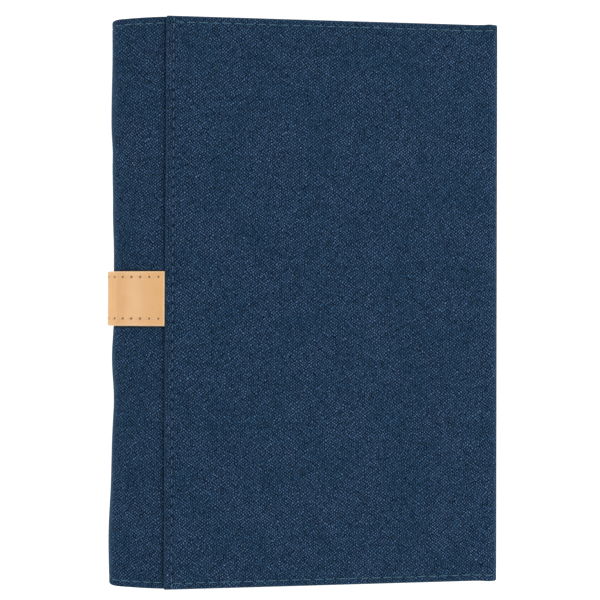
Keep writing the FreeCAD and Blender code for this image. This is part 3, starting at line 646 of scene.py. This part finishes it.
def cover_pieces(name, cover):
    wide, half = COVER_WIDE + FORE_EASE, COVER_HALF
    column = half - EDGE_STITCH
    column_pitch = 2 * column / round(2 * column / SEAM_PITCH)
    row_end = wide - STITCH_END
    row_pitch = (row_end - SEAM_STITCH) / round((row_end - SEAM_STITCH) / EDGE_PITCH)
    edge_rows = [(-column, *ROW_FINE), (column, *ROW_FINE)]
    # a grid line runs through every needle hole of the seam's row
    hole_rows = (0, column - column_pitch, column_pitch / 4)
    us = grid_lines(SEAM_INSET, wide, 0.9, [(SEAM_STITCH, *ROW_FINE)], edge=1.2)
    ys = grid_lines(-half, half, 0.9, [hole_rows, *edge_rows], edge=1.2)

    def place(u, y, depth):
        at_corner = bell(u - COVER_WIDE + 2, 3) * smooth(np.abs(y), half - 7, half - 1)
        return cover.place(u, y + CORNER_SWELL * at_corner * np.sign(y), depth)

    def beside_seam(Y):
        return np.abs(Y) < column + 0.4

    def outer(U, Y, side):
        from_fore = wide - U
        edge = np.maximum(fall(side, 1.2, COVER_THICK / 2), fall(from_fore, 2.6, COVER_THICK / 2))
        sewn = groove(np.abs(Y) - column, U - SEAM_STITCH, row_pitch) * (U < row_end + 0.4)
        sewn = np.maximum(sewn, groove(U - SEAM_STITCH, Y + column, column_pitch, 0.14, 0.45)
                          * beside_seam(Y))
        ripple = 0.16 * waves(U, Y, WAVE_SEEDS[name]) * smooth(side, 0, 6)
        soft = 0.8 * np.clip(1 - from_fore / FORE_SOFT, 0, 1) ** 2
        fluff = -0.1 * bell(side - 1.5, 0.8)
        return np.minimum(edge + sewn + ripple + soft + fluff * (side > 0.3), COVER_THICK / 2)

    def inner(U, Y, side):
        rim = COVER_THICK - fall(side, 0.5, COVER_THICK / 2) - fall(FABRIC_THICK - side, 0.3, 0.3)
        return np.where(side < FABRIC_THICK, rim, FABRIC_THICK + 0.02)

    # painted shade: how strongly each point beside the seam's row takes the needle holes' painted shade
    def needle_hole_shade(U, Y):
        from_hole = from_nearest(Y + column, column_pitch)
        return bell(U - SEAM_STITCH, HOLE_WIDE) * bell(from_hole, HOLE_LONG) * beside_seam(Y)

    panel = cloth_piece(f"{name}_cover_fabric", us, ys, outer, inner, place, FABRIC, corner=COVER_CORNER,
                        values={"hole": needle_hole_shade}, folded=(True, True))
    add_to(cover, f"{name}_cover_panel", panel)

    rows = []
    for end in (-1, 1):
        rows += stitches_along((SEAM_STITCH, end * column), (row_end, end * column), EDGE_PITCH, EDGE_DASH,
                               ROW_DEPTH)
        for near, far in TACK_STITCHES:
            rows.append(((SEAM_STITCH, end * (half - near)), (SEAM_STITCH + 0.2, end * (half - far)),
                         TACK_DEPTH))
    edge_stitches = stitch_piece(f"{name}_edge_stitches", rows, place, -1, EDGE_THICK, EDGE_THREAD)
    seam_row = stitches_along((SEAM_STITCH, -column), (SEAM_STITCH, column), SEAM_PITCH, SEAM_DASH, ROW_DEPTH)
    seam_stitches = stitch_piece(f"{name}_seam_stitches", seam_row, cover.place, -1, SEAM_THICK, SEAM_THREAD)
    add_to(cover, f"{name}_cover_thread", edge_stitches, seam_stitches)

    low, high = cover.local_box(f"{name}_cover_lining")
    us, ys = box_grid(low, high, (3.0, 3.0), 0.5, ([(SEAM_STITCH, 1.0, 0.4)], edge_rows))

    def face(U, Y, side):
        return high[2] - fall(side, 0.5, 0.3) - 0.2 * bell(np.abs(Y) - column, 0.6)

    lining = cloth_piece(f"{name}_lining", us, ys, face, rounded(low[2], 0.5, 0.15), cover.place, LINING,
                         corner=1.0)
    add_to(cover, f"{name}_cover_lining", lining)


for name, cover in COVERS.items():
    cover_pieces(name, cover)


# Spine: each layer is one skin per fold, from the middle of one strip to the middle of the next.

def spine_bulge(y):
    """How far the soft nose stands out beyond its even shape, along the spine."""
    to_tail = 1.7 * smooth(-y, 35, 100)
    upper = 0.75 * smooth(y, 20, 38) + 0.5 * bell(y - 88, 18)
    below = 0.85 * bell(y + 22, 10) + 0.3 * bell(y + 62, 12)
    pinch = -0.35 * bell(y - 62, 6) - 0.4 * bell(y + 40, 9)
    return to_tail + upper + below + pinch + 0.2 * np.sin(y / 8.5) * smooth(np.abs(y - 2), 14, 30)


def on_nose(s):
    return np.sin(math.pi * np.clip(s / SPINE_LONG, 0, 1)) ** 2


def from_seam(s):
    """Arc length from the nearer seam, less than nothing beyond it."""
    return SPINE_LONG / 2 - np.abs(s - SPINE_LONG / 2)


def past_band(y):
    """How far y lies past the nearer edge of the leather band, less than nothing under it."""
    return np.maximum(BAND_Y[0] - y, y - BAND_Y[1])


SEAM_DIVE = 0.6
BAND_TUCK = 1.45
TUCK_REACH = 0.34
# the cloth's inside follows the tuck beside the band more softly
INNER_TUCK = 0.7
INNER_TUCK_REACH = 1.3


def skin_depth(s, y, deep, tuck=BAND_TUCK, reach=TUCK_REACH):
    """Depth of a spine layer, with the cloth's bulge and its lift beside the band and at the seams."""
    dive = SEAM_DIVE * (1 - 0.8 * smooth(np.abs(y), COVER_HALF - 5, COVER_HALF - 1.5))
    lift = 0.75 * smooth(-from_seam(s), -14, -1) - dive * bell(from_seam(s), 0.7)
    tucked = tuck * bell(past_band(y) - 0.25, reach) * (1 - on_nose(s) ** 3)
    clear = smooth(past_band(y), -0.1, 0.7)
    return deep + tucked - clear * (spine_bulge(y) * on_nose(s) + lift)


def blend_fold(piece, number):
    """Bakes a skin's placing into its mesh. It works out the span about its fold, but nothing bends the skin.
    """
    at_seam = {0: (0, SEAM_REACH), len(FOLDS) - 1: (SPINE_LONG - SEAM_REACH, SPINE_LONG)}
    if number in at_seam:
        start, end = (spine_point(s) for s in at_seam[number])
    else:
        middle, before, after = (spine_point(FOLD_AT[number] + away) for away in (0, -0.5, 0.5))
        along = (after - before) / np.linalg.norm(after - before)
        start, end = middle - FOLD_REACH * along, middle + FOLD_REACH * along
    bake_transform(piece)


def spine_point(s):
    return spine_place(np.array(float(s)), np.array(0.0), np.array(0.0))


def spine_skin(layer, label, number, ys, outer, inner, material, margin, step=0.8, values=None):
    """One skin of a spine layer. margin keeps the layer's ends off the seams, or laps them over if less
    than nothing."""
    start, end = SHARED_AT[number], SHARED_AT[number + 1]
    goes_on = (number > 0, number < len(FOLDS) - 1)
    start += 0 if goes_on[0] else margin
    end -= 0 if goes_on[1] else margin
    fine = [(at, 1.6, 0.2) for at in (0, SPINE_LONG) if margin < 0 and start <= at <= end]
    us = grid_lines(start, end, step, fine, shared=[at for at, on in zip((start, end), goes_on) if on])
    piece = cloth_piece(f"{label}_{number + 1}", us, ys, outer, inner, spine_place, material, values=values,
                        open_ends=goes_on, folded=(False, True))
    blend_fold(piece, number)
    nodes = [f"{layer}_{strip}" for strip in STRIPS[max(0, number - 1):number + 1]]
    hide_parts(*nodes)
    return piece


SPINE_HALF = COVER_HALF - 0.4
LINING_HALF = SPINE_HALF - 1
PLY = 0.9
LINING_THICK = 0.5
SEAM_MARGIN = 0.02
BAND_MARGIN = 0.05
# the spine's lining laps on to the linings of the covers
SEAM_LAP = 1.6
spine_row = SPINE_HALF - EDGE_STITCH + 0.2
fabric_ys = grid_lines(-SPINE_HALF, SPINE_HALF, 1.6,
                       [(-spine_row, 1.2, 0.4), (spine_row, 1.2, 0.4),
                        (BAND_Y[0] - 0.4, 1.6, 0.12), (BAND_Y[1] + 0.4, 1.6, 0.12)], edge=0.8)
lining_ys = grid_lines(-LINING_HALF, LINING_HALF, 2.5,
                       [(BAND_Y[0] - 0.4, 3.6, 0.4), (BAND_Y[1] + 0.4, 3.6, 0.4)], edge=0.5)
SPINE_PITCH = SPINE_LONG / round(SPINE_LONG / EDGE_PITCH)


def fabric_outer(S, Y, side):
    sewn = groove(np.abs(Y) - spine_row, S, SPINE_PITCH)
    ease = fall(SPINE_HALF - np.abs(Y), 0.9, 0.5)
    return skin_depth(S, Y, 2 * PLY) + ease + sewn - 0.06 * np.sin(S / 2.3 + Y / 9)


def fabric_inner(S, Y, side):
    deep = 2 * PLY + FABRIC_THICK
    return (skin_depth(S, Y, deep, INNER_TUCK, INNER_TUCK_REACH)
            - fall(SPINE_HALF - np.abs(Y), 0.9, 0.35))


def lining_outer(S, Y, side):
    over_cover = COVER_THICK + 0.3 - COVER_THICK * smooth(from_seam(S), -0.1, 1.5)
    return np.maximum(fabric_inner(S, Y, side) + 0.02, over_cover)


def lining_inner(S, Y, side):
    from_border = np.minimum(LINING_HALF - np.abs(Y), from_seam(S) + SEAM_LAP)
    return lining_outer(S, Y, side) + LINING_THICK - fall(from_border, 0.5, 0.3)


def arc_long(start, end, deep):
    s = np.linspace(start, end, 50)
    return run_along(spine_place(s, 0 * s, deep + 0 * s))[-1]


SKINS = range(len(FOLDS))
for number in SKINS:
    outside = spine_skin("spine_fabric", "spine_cloth", number, fabric_ys, fabric_outer, fabric_inner, FABRIC,
                         SEAM_MARGIN)
    inside = spine_skin("spine_lining", "spine_lining_cloth", number, lining_ys, lining_outer, lining_inner,
                        LINING, -SEAM_LAP, step=1.2)
    for skin, deep, half, held, under in (
            (outside, 2 * PLY + FABRIC_THICK / 2, SPINE_HALF, "stretched", []),
            (inside, 2 * PLY + FABRIC_THICK + LINING_THICK / 2, LINING_HALF, "laid", [outside])):
        wide = arc_long(SHARED_AT[number], SHARED_AT[number + 1], deep)

# Leather band: a top ply with two rows of stitches, and a backing ply.
HOLE_PITCH = 3.75
HOLE_FROM_SEAM = 2.5
HOLE_ROWS = (BAND_Y[1] - 2.3, BAND_Y[0] + 3.0)
# a stitch of the band starts and ends this far from the middles of its needle holes
HOLE_CLEAR = 0.3
hole_count = math.ceil((SPINE_LONG - 2 * HOLE_FROM_SEAM) / HOLE_PITCH)
hole_pitch = (SPINE_LONG - 2 * HOLE_FROM_SEAM) / hole_count
HOLE_AT = [HOLE_FROM_SEAM + hole_pitch * number for number in range(hole_count + 1)]


def hole_share(S, Y, radius):
    share = 0 * S
    for at in HOLE_AT:
        for row in HOLE_ROWS:
            share = np.maximum(share, np.exp(-(((S - at) ** 2 + (Y - row) ** 2) / radius ** 2) ** 1.5))
    return share


def band_rise(s):
    """The band stands a little off the nose."""
    return 0.7 * on_nose(s)


def from_band_border(S, Y):
    return np.minimum(-past_band(Y), np.minimum(S, SPINE_LONG - S))


def band_outer(S, Y, side):
    row = sum(bell(Y - row, 0.9) for row in HOLE_ROWS)
    return (fall(from_band_border(S, Y), 0.45, 0.4) + 0.45 * hole_share(S, Y, 0.42) + 0.07 * row
            - band_rise(S) - 0.05 * np.sin(Y / 5 + S / 7))


def ply_face(depth, reach, turned):
    """A hidden face of a ply, whose two long edges turn away from it."""
    return lambda S, Y, side: depth + fall(-past_band(Y), reach, turned) - band_rise(S)


def skin_at(s):
    """The number of the skin that holds arc length s."""
    return next(number for number in SKINS if s <= SHARED_AT[number + 1])


# edge marks the paler cut edges, and hole marks where the needle holes' painted shade goes
band_masks = {"edge": lambda S, Y: 1 - smooth(from_band_border(S, Y), 0.25, 0.85),
              "hole": lambda S, Y: hole_share(S, Y, 0.36)}
band_ys = grid_lines(BAND_Y[0], BAND_Y[1], 0.8, [(row, 0.8, 0.16) for row in HOLE_ROWS], edge=0.5)
backing_ys = grid_lines(BAND_Y[0] + 0.1, BAND_Y[1] - 0.1, 2.0, edge=0.5)
band_stitches = {number: [] for number in SKINS}
for near, far in zip(HOLE_AT[:-1], HOLE_AT[1:]):
    middle = (near + far) / 2
    for row in HOLE_ROWS:
        band_stitches[skin_at(middle)].append(((near + HOLE_CLEAR, row), (far - HOLE_CLEAR, row),
                                               0.1 - band_rise(middle)))
spine_stitches = {number: [] for number in SKINS}
for end in (-1, 1):
    for first, last, depth in stitches_along((0, end * spine_row), (SPINE_LONG, end * spine_row),
                                             SPINE_PITCH, EDGE_DASH):
        middle = (first[0] + last[0]) / 2
        rest = float(skin_depth(middle, end * spine_row, 2 * PLY)) + ROW_DEPTH
        spine_stitches[skin_at(middle)].append((first, last, rest))
for number in SKINS:
    spine_skin("band_leather", "band_strap", number, band_ys, band_outer, ply_face(PLY - 0.03, 0.3, -0.12),
               LEATHER, BAND_MARGIN, step=0.22, values=band_masks)
    spine_skin("band_backing", "band_backing_strap", number, backing_ys, ply_face(PLY + 0.03, 0.3, 0.12),
               ply_face(2 * PLY - 0.02, 0.4, -0.3), LEATHER, BAND_MARGIN, step=1.0,
               values={"edge": band_masks["edge"]})
    for label, stitches, thick, material, slot in (
            ("band_stitches", band_stitches[number], 0.36, BAND_THREAD, "band_leather"),
            ("spine_stitches", spine_stitches[number], 0.38, EDGE_THREAD, "cover_thread")):
        if stitches:
            sewn = stitch_piece(f"{label}_{number + 1}", stitches, spine_place, -1, thick, material)
            blend_fold(sewn, number)


# Inside: cloth pieces lie on a cover's lining and grow away from its outer face.

SIDES = ("gutter", "fore", "tail", "head")
CLOTH = 0.42
CARD_CLOTH_THICK = 0.3
SEWN = 1.6
RISE = 4.2
HEM = 5.0
# the row of stitches round the window, from its opening
WINDOW_ROW = 1.4
BINDING = 5.0
# a binding's lip round the mouth, how far that reaches down, and its row of stitches
BINDING_LIP = 0.35
BINDING_DROP = 0.75
BINDING_ROW = BINDING - 1.1
INSIDE_PITCH = 2.6
INSIDE_DASH = 2.0
INSIDE_THICK = 0.34


def from_sides(U, Y, low, high, sides):
    away = {"gutter": U - low[0], "fore": high[0] - U, "tail": Y - low[1], "head": high[1] - Y}
    return np.minimum.reduce([away[side] + 0 * U + 0 * Y for side in sides])


def row_beside(side, low, high, inset, short):
    """The two ends of a stitch row inside one side of a box, short of its corners."""
    way = SIDES.index(side) // 2
    at = high[way] - inset if side in ("fore", "head") else low[way] + inset
    ends = (low[1 - way] + short, high[1 - way] - short)
    return [(end, at) if way else (at, end) for end in ends]


def sewn_rows(name, cover, rows, surface, material=INSIDE_THREAD):
    """Rows of stitches on a surface of a cover's inside, each stitch at the depth of the cloth there."""
    stitches = []
    for start, end in rows:
        for first, last, _ in stitches_along(start, end, INSIDE_PITCH, INSIDE_DASH):
            middle = (np.array(first) + np.array(last)) / 2
            stitches.append((first, last, float(surface(middle[0], middle[1]))))
    return stitch_piece(name, stitches, cover.place, 1, INSIDE_THICK, material, 0.16, 0.12)


def pocket(node, cover, mouth, material, seed, rests=None, thick=CLOTH, hem_thick=0.12,
           opening=None):
    """A patch of cloth sewn down on three sides, open behind its hemmed mouth. Gives back the depth of its
    face, for what lies on it."""
    low, high = cover.local_box(node)
    sewn = [side for side in SIDES if side != mouth]

    def away(U, Y, *sides):
        return from_sides(U, Y, low, high, sides)

    def surface(U, Y):
        raised = smooth(away(U, Y, *sewn), 0.7, RISE)
        base = 0.03 + (rests(U, Y) if rests else low[2])
        on = np.minimum(base, high[2] - thick)
        ease = 0.05 * (1 + waves(U, Y, seed)) * smooth(away(U, Y, *SIDES), 1, 12)
        pulled = 0.07 * bell(away(U, Y, mouth) - HEM, 0.5)
        return on + thick + (high[2] - thick - on - ease) * raised - pulled * raised

    def face(U, Y, side):
        return surface(U, Y) - fall(side, 0.35, 0.25)

    def back(U, Y, side):
        hem = hem_thick * (1 - smooth(away(U, Y, mouth), HEM + 0.4, HEM + 1.2))
        free = surface(U, Y) - thick - hem * smooth(away(U, Y, *sewn), 0.7, RISE)
        return free + fall(side, 0.35, 0.08)

    def cut_out(U, Y):
        return away(U, Y, *SIDES) > opening

    rows = [row_beside(side, low, high, SEWN, SEWN) for side in sewn]
    rows.append(row_beside(mouth, low, high, HEM, SEWN))
    fine = ([], [])
    way = SIDES.index(mouth) // 2
    fine[way].append((rows[-1][0][way], 1.2, 0.3))
    if opening:
        for way in (0, 1):
            fine[way].extend([(low[way] + opening, 0.6, 0.2), (high[way] - opening, 0.6, 0.2)])
        inset = opening - WINDOW_ROW
        rows += [row_beside(side, low, high, inset, inset) for side in SIDES]
    us, ys = box_grid(low, high, (2.2, 2.2), RISE, fine)
    piece = cloth_piece(f"{node}_cloth", us, ys, face, back, cover.place, material, corner=1.4,
                        window=cut_out if opening else None)
    stitches = sewn_rows(f"{node}_stitches", cover, rows, surface)
    add_to(cover, node, piece, stitches)
    return surface


def bind_mouth(node, cover, mouth):
    """A bound edge: tape folded over the mouth of a pocket and sewn through."""
    low, high = cover.local_box(node)
    if mouth == "gutter":
        low[0] -= BINDING_LIP
        steps = (0.7, 3.0)
    else:
        high[1] += BINDING_LIP
        steps = (3.0, 0.7)

    def face(U, Y, side):
        crown = 0.06 * smooth(side, 0.3, 1.6)
        sewn = 0.1 * bell(from_sides(U, Y, low, high, (mouth,)) - BINDING_ROW, 0.4)
        return high[2] - 0.06 + crown - sewn - fall(side, 0.4, 0.34)

    def back(U, Y, side):
        over = from_sides(U, Y, low, high, (mouth,)) < BINDING_LIP
        return np.where(over, low[2] - BINDING_DROP, low[2] + 0.02)

    piece = cloth_piece(f"{node}_tape", *box_grid(low, high, steps, 0.9), face, back, cover.place,
                        BINDING_TAPE, corner=0.4)
    row = row_beside(mouth, low, high, BINDING_ROW, 1.5)
    stitches = sewn_rows(f"{node}_stitches", cover, [row], lambda u, y: high[2] - 0.1)
    add_to(cover, node, piece, stitches)


document_face = pocket("document_pocket", FRONT, "gutter", POCKET_CLOTH, 3)
bind_mouth("document_pocket_binding", FRONT, "gutter")
card_face = document_face
for number in range(1, 5):
    node = f"card_pocket_{number}"
    card_face = pocket(node, FRONT, "head", CARD_CLOTH, 10 + number, card_face,
                       CARD_CLOTH_THICK, 0.1)
pocket("id_window_frame", FRONT, "head", CARD_CLOTH, 20, document_face, CLOTH, 0.0,
       opening=7.0)

# The window's clear film, a little slack.
film_low, film_high = FRONT.local_box("id_window_film")


def film_face(U, Y, side):
    return film_high[2] - 0.03 + 0.03 * waves(U * 1.5, Y * 1.5, 30) * smooth(side, 0, 6)


def film_back(U, Y, side):
    return film_face(U, Y, side) - 0.12


film = cloth_piece("id_window_clear", *box_grid(film_low, film_high, (2.0, 2.0)), film_face, film_back,
                   FRONT.place, FILM)
add_to(FRONT, "id_window_film", film)

# Zip pocket: two panels over the tapes, the coil between them.
TAPE_TOP = 3.62
tape_low = BACK.local_box("zip_tape_gutter")[0]
tape_high = BACK.local_box("zip_tape_main")[1]
panel_floor = BACK.local_box("zip_panel_main")[0][2]


def over_tapes(U, Y):
    near = smooth(U, tape_low[0] - 3, tape_low[0] - 0.5)
    near = near * (1 - smooth(U, tape_high[0] + 0.5, tape_high[0] + 3))
    return panel_floor + (TAPE_TOP - panel_floor) * near + 0 * Y


pocket("zip_panel_gutter", BACK, "fore", POCKET_CLOTH, 40, over_tapes, hem_thick=0.06)
panel_face = pocket("zip_panel_main", BACK, "gutter", POCKET_CLOTH, 41, over_tapes,
                    hem_thick=0.06)
ticket_face = pocket("ticket_pocket", BACK, "head", POCKET_CLOTH, 42, panel_face)
bind_mouth("ticket_pocket_binding", BACK, "head")
pocket("passport_pocket", BACK, "head", CARD_CLOTH, 43, ticket_face)
bind_mouth("passport_pocket_binding", BACK, "head")

for half in ("gutter", "main"):
    node = f"zip_tape_{half}"
    low, high = BACK.local_box(node)
    tape = cloth_piece(f"{node}_cloth", *box_grid(low, high, (1.5, 6.0), 0.4), rounded(high[2], 0.2, -0.12),
                       rounded(low[2], 0.2, 0.08), BACK.place, ZIP_TAPE)
    add_to(BACK, node, tape)

COIL_PITCH = 1.24
COIL_WIRE = 0.27
COIL_STEPS = 12
COIL_SIDES = 6
COIL_MESH = 0.28


def coil(node, toward):
    """One half of a coil zip: a flattened helix of nylon whose turns mesh with the other half's."""
    low, high = BACK.local_box(node)
    if toward > 0:
        high[0] += COIL_MESH
    else:
        low[0] -= COIL_MESH
    centre = (low + high) / 2
    half = (high - low) / 2 - COIL_WIRE
    turns = int((high[1] - low[1] - 2 * COIL_WIRE) / COIL_PITCH) - 1
    angle = np.linspace(0, 2 * math.pi * turns, turns * COIL_STEPS + 1)
    shift = COIL_PITCH * (0.25 if toward > 0 else -0.25)
    at = np.stack([centre[0] + half[0] * np.cos(angle) * toward,
                   low[1] + COIL_WIRE + COIL_PITCH * (0.75 + angle / (2 * math.pi)) + shift,
                   centre[2] + half[2] * np.sin(angle)], -1)
    along = np.gradient(at, axis=0)
    along /= np.linalg.norm(along, axis=1, keepdims=True)
    out = np.stack([np.cos(angle) * toward, 0 * angle, np.sin(angle)], -1)
    side = np.cross(along, out)
    turn = np.linspace(0, 2 * math.pi, COIL_SIDES, endpoint=False)
    rings = (at[:, None] + COIL_WIRE * (np.cos(turn)[None, :, None] * out[:, None]
                                        + np.sin(turn)[None, :, None] * side[:, None]))
    points = BACK.place(*rings.reshape(-1, 3).T)
    uv = np.stack([np.tile(turn, len(at)), np.repeat(angle, COIL_SIDES)], -1)
    faces = tube_faces(0, len(at), COIL_SIDES)
    add_to(BACK, node, finish_mesh(f"{node}_helix", points, faces, ZIP_COIL, uv))


coil("zip_coil_gutter", 1)
coil("zip_coil_main", -1)

TAB_ROW = 1.1
for end in ("head", "tail"):
    node = f"zip_tab_{end}"
    low, high = BACK.local_box(node)

    def tab_face(U, Y, side):
        return high[2] - fall(side, 0.4, 0.3) - 0.08 * bell(side - TAB_ROW, 0.3)

    def tab_edge(U, Y):
        return 1 - smooth(from_sides(U, Y, low, high, SIDES), 0.1, 0.5)

    tab = cloth_piece(f"{node}_leather", *box_grid(low, high, (0.4, 0.4), 1.6), tab_face,
                      rounded(low[2] + 0.02, 0.3, 0.1), BACK.place, TAB_LEATHER, corner=1.0,
                      values={"edge": tab_edge})
    rows = [row_beside(side, low, high, TAB_ROW, TAB_ROW) for side in SIDES]
    sewn = sewn_rows(f"{node}_stitches", BACK, rows, lambda u, y: high[2] - 0.08, BAND_THREAD)
    add_to(BACK, node, tab, sewn)

# Pen loop: one length of ribbed elastic, sewn down at its two ends.
loop_low, loop_high = BACK.local_box("pen_loop")
LOOP_THICK = 0.7
LOOP_RIB = 1.2
RIB_DEPTH = 0.05
loop_foot = (loop_high[0] - loop_low[0] - 1.4) / 2
loop_middle = (loop_low[0] + loop_high[0]) / 2
loop_radius = (loop_high[2] - loop_low[2] - LOOP_THICK) / 2 - 0.06
loop_axis = loop_low[2] + 0.03 + LOOP_THICK / 2 + loop_radius
loop_long = 2 * loop_foot + 2 * math.pi * loop_radius


def loop_place(a, y, out):
    """A point of the elastic: a along it, out towards the outside of the ring."""
    angle = np.clip((a - loop_foot) / loop_radius, 0, 2 * math.pi)
    before = np.minimum(a - loop_foot, 0)
    after = np.maximum(a - loop_foot - 2 * math.pi * loop_radius, 0)
    u = loop_middle + before + after + (loop_radius + out) * np.sin(angle)
    depth = loop_axis - (loop_radius + out) * np.cos(angle)
    return BACK.place(u, y, depth)


def loop_face(way):
    """The elastic's outer face where way is 1, and its inner face where it is -1."""
    def face(A, Y, side):
        ribs = RIB_DEPTH * np.cos(2 * math.pi * Y / LOOP_RIB)
        return ribs + way * (LOOP_THICK / 2 - RIB_DEPTH - fall(side, 0.25, 0.2))
    return face


loop = cloth_piece("pen_loop_elastic", grid_lines(0, loop_long, 0.7, edge=0.5),
                   grid_lines(loop_low[1], loop_high[1], 0.3, edge=0.5), loop_face(1), loop_face(-1),
                   loop_place, ELASTIC)
foot_rows = []
for side in (-1, 1):
    foot_at = loop_middle + side * (loop_foot - 0.9)
    foot_rows.append(((foot_at, loop_low[1] + 1), (foot_at, loop_high[1] - 1)))
loop_sewn = sewn_rows("pen_loop_stitches", BACK, foot_rows, lambda u, y: loop_low[2] + LOOP_THICK)
add_to(BACK, "pen_loop", loop, loop_sewn)

# Rigid parts keep their solids, and the sharp edges of the metal ones are eased.
RIGID = {"zip_slider": (BRASS, 0.25), "zip_pull": (BRASS, 0.15), "zip_stop_head": (BRASS, 0.2),
         "zip_stop_tail": (BRASS, 0.2), "front_cover_board": (BOARD, 0.0), "back_cover_board": (BOARD, 0.0)}
for node, (material, ease) in RIGID.items():
    solid = frame["nodes"][node]
    solid.data.materials.clear()
    solid.data.materials.append(material)
    if ease:
        eased = solid.modifiers.new("eased_edges", "BEVEL")
        eased.width = ease * MM
        eased.segments = 3
        eased.limit_method = "ANGLE"
        eased.angle_limit = math.radians(40)


# Floor, light and camera.

def area_light(name, at, aim, size, power):
    data = bpy.data.lights.new(name, "AREA")
    data.shape = "RECTANGLE"
    data.size, data.size_y = size
    data.energy = power
    lamp = add_object(name, data)
    lamp.location = at
    lamp.rotation_euler = (Vector(aim) - lamp.location).to_track_quat("-Z", "Y").to_euler()


# brightness of the floor and of the world as light, and as they are seen
FLOOR_GLOW = (0.12, 0.6)
WORLD_GLOW = (0.54, 1.0)
FLOOR_REACH = 3.0
floor_mesh = bpy.data.meshes.new("floor")
corners = [(x * FLOOR_REACH, y * FLOOR_REACH, 0) for x, y in ((-1, -1), (1, -1), (1, 1), (-1, 1))]
floor_mesh.from_pydata(corners, [], [(0, 1, 2, 3)])
floor = add_object("floor", floor_mesh)
paper = Shader("light_table", Base_Color=(0.9, 0.9, 0.9, 1), Roughness=0.9, Emission_Color=(1, 1, 1, 1))
seen = paper.node("ShaderNodeLightPath").outputs["Is Camera Ray"]
paper.drive("Emission Strength", paper.spread(seen, 0.0, 1.0, *FLOOR_GLOW))
floor_mesh.materials.append(paper.material)
floor.location.z = -0.8 * MM

world = bpy.data.worlds.new("studio")
bpy.context.scene.world = world
world.use_nodes = True
surround = world.node_tree.nodes["Background"]
surround.inputs["Color"].default_value = (1, 1, 1, 1)
path = world.node_tree.nodes.new("ShaderNodeLightPath")
strength = world.node_tree.nodes.new("ShaderNodeMapRange")
strength.inputs["To Min"].default_value, strength.inputs["To Max"].default_value = WORLD_GLOW
world.node_tree.links.new(path.outputs["Is Camera Ray"], strength.inputs["Value"])
world.node_tree.links.new(strength.outputs["Result"], surround.inputs["Strength"])
area_light("left_softbox", (-0.75, 0.0, 0.91), (-0.07, 0, 0.02), (1.2, 0.24), 3.8)
area_light("left_fill", (-1.15, 0.1, 0.3), (-0.05, 0, 0.01), (1.2, 0.5), 2.2)
area_light("right_fill", (1.1, 0.1, 0.45), (0, 0, 0.01), (1.2, 0.6), 9.0)
bpy.context.scene.view_settings.view_transform = "Standard"

camera_data = bpy.data.cameras.new("camera")
camera = add_object("camera", camera_data)
camera_data.sensor_width = 36
camera_data.lens = 66
camera.location = (-0.02375, 0.00275, 0.46618)
camera.rotation_euler = (math.radians(-0.2), math.radians(-2.8), math.radians(0.08))
bpy.context.scene.camera = camera
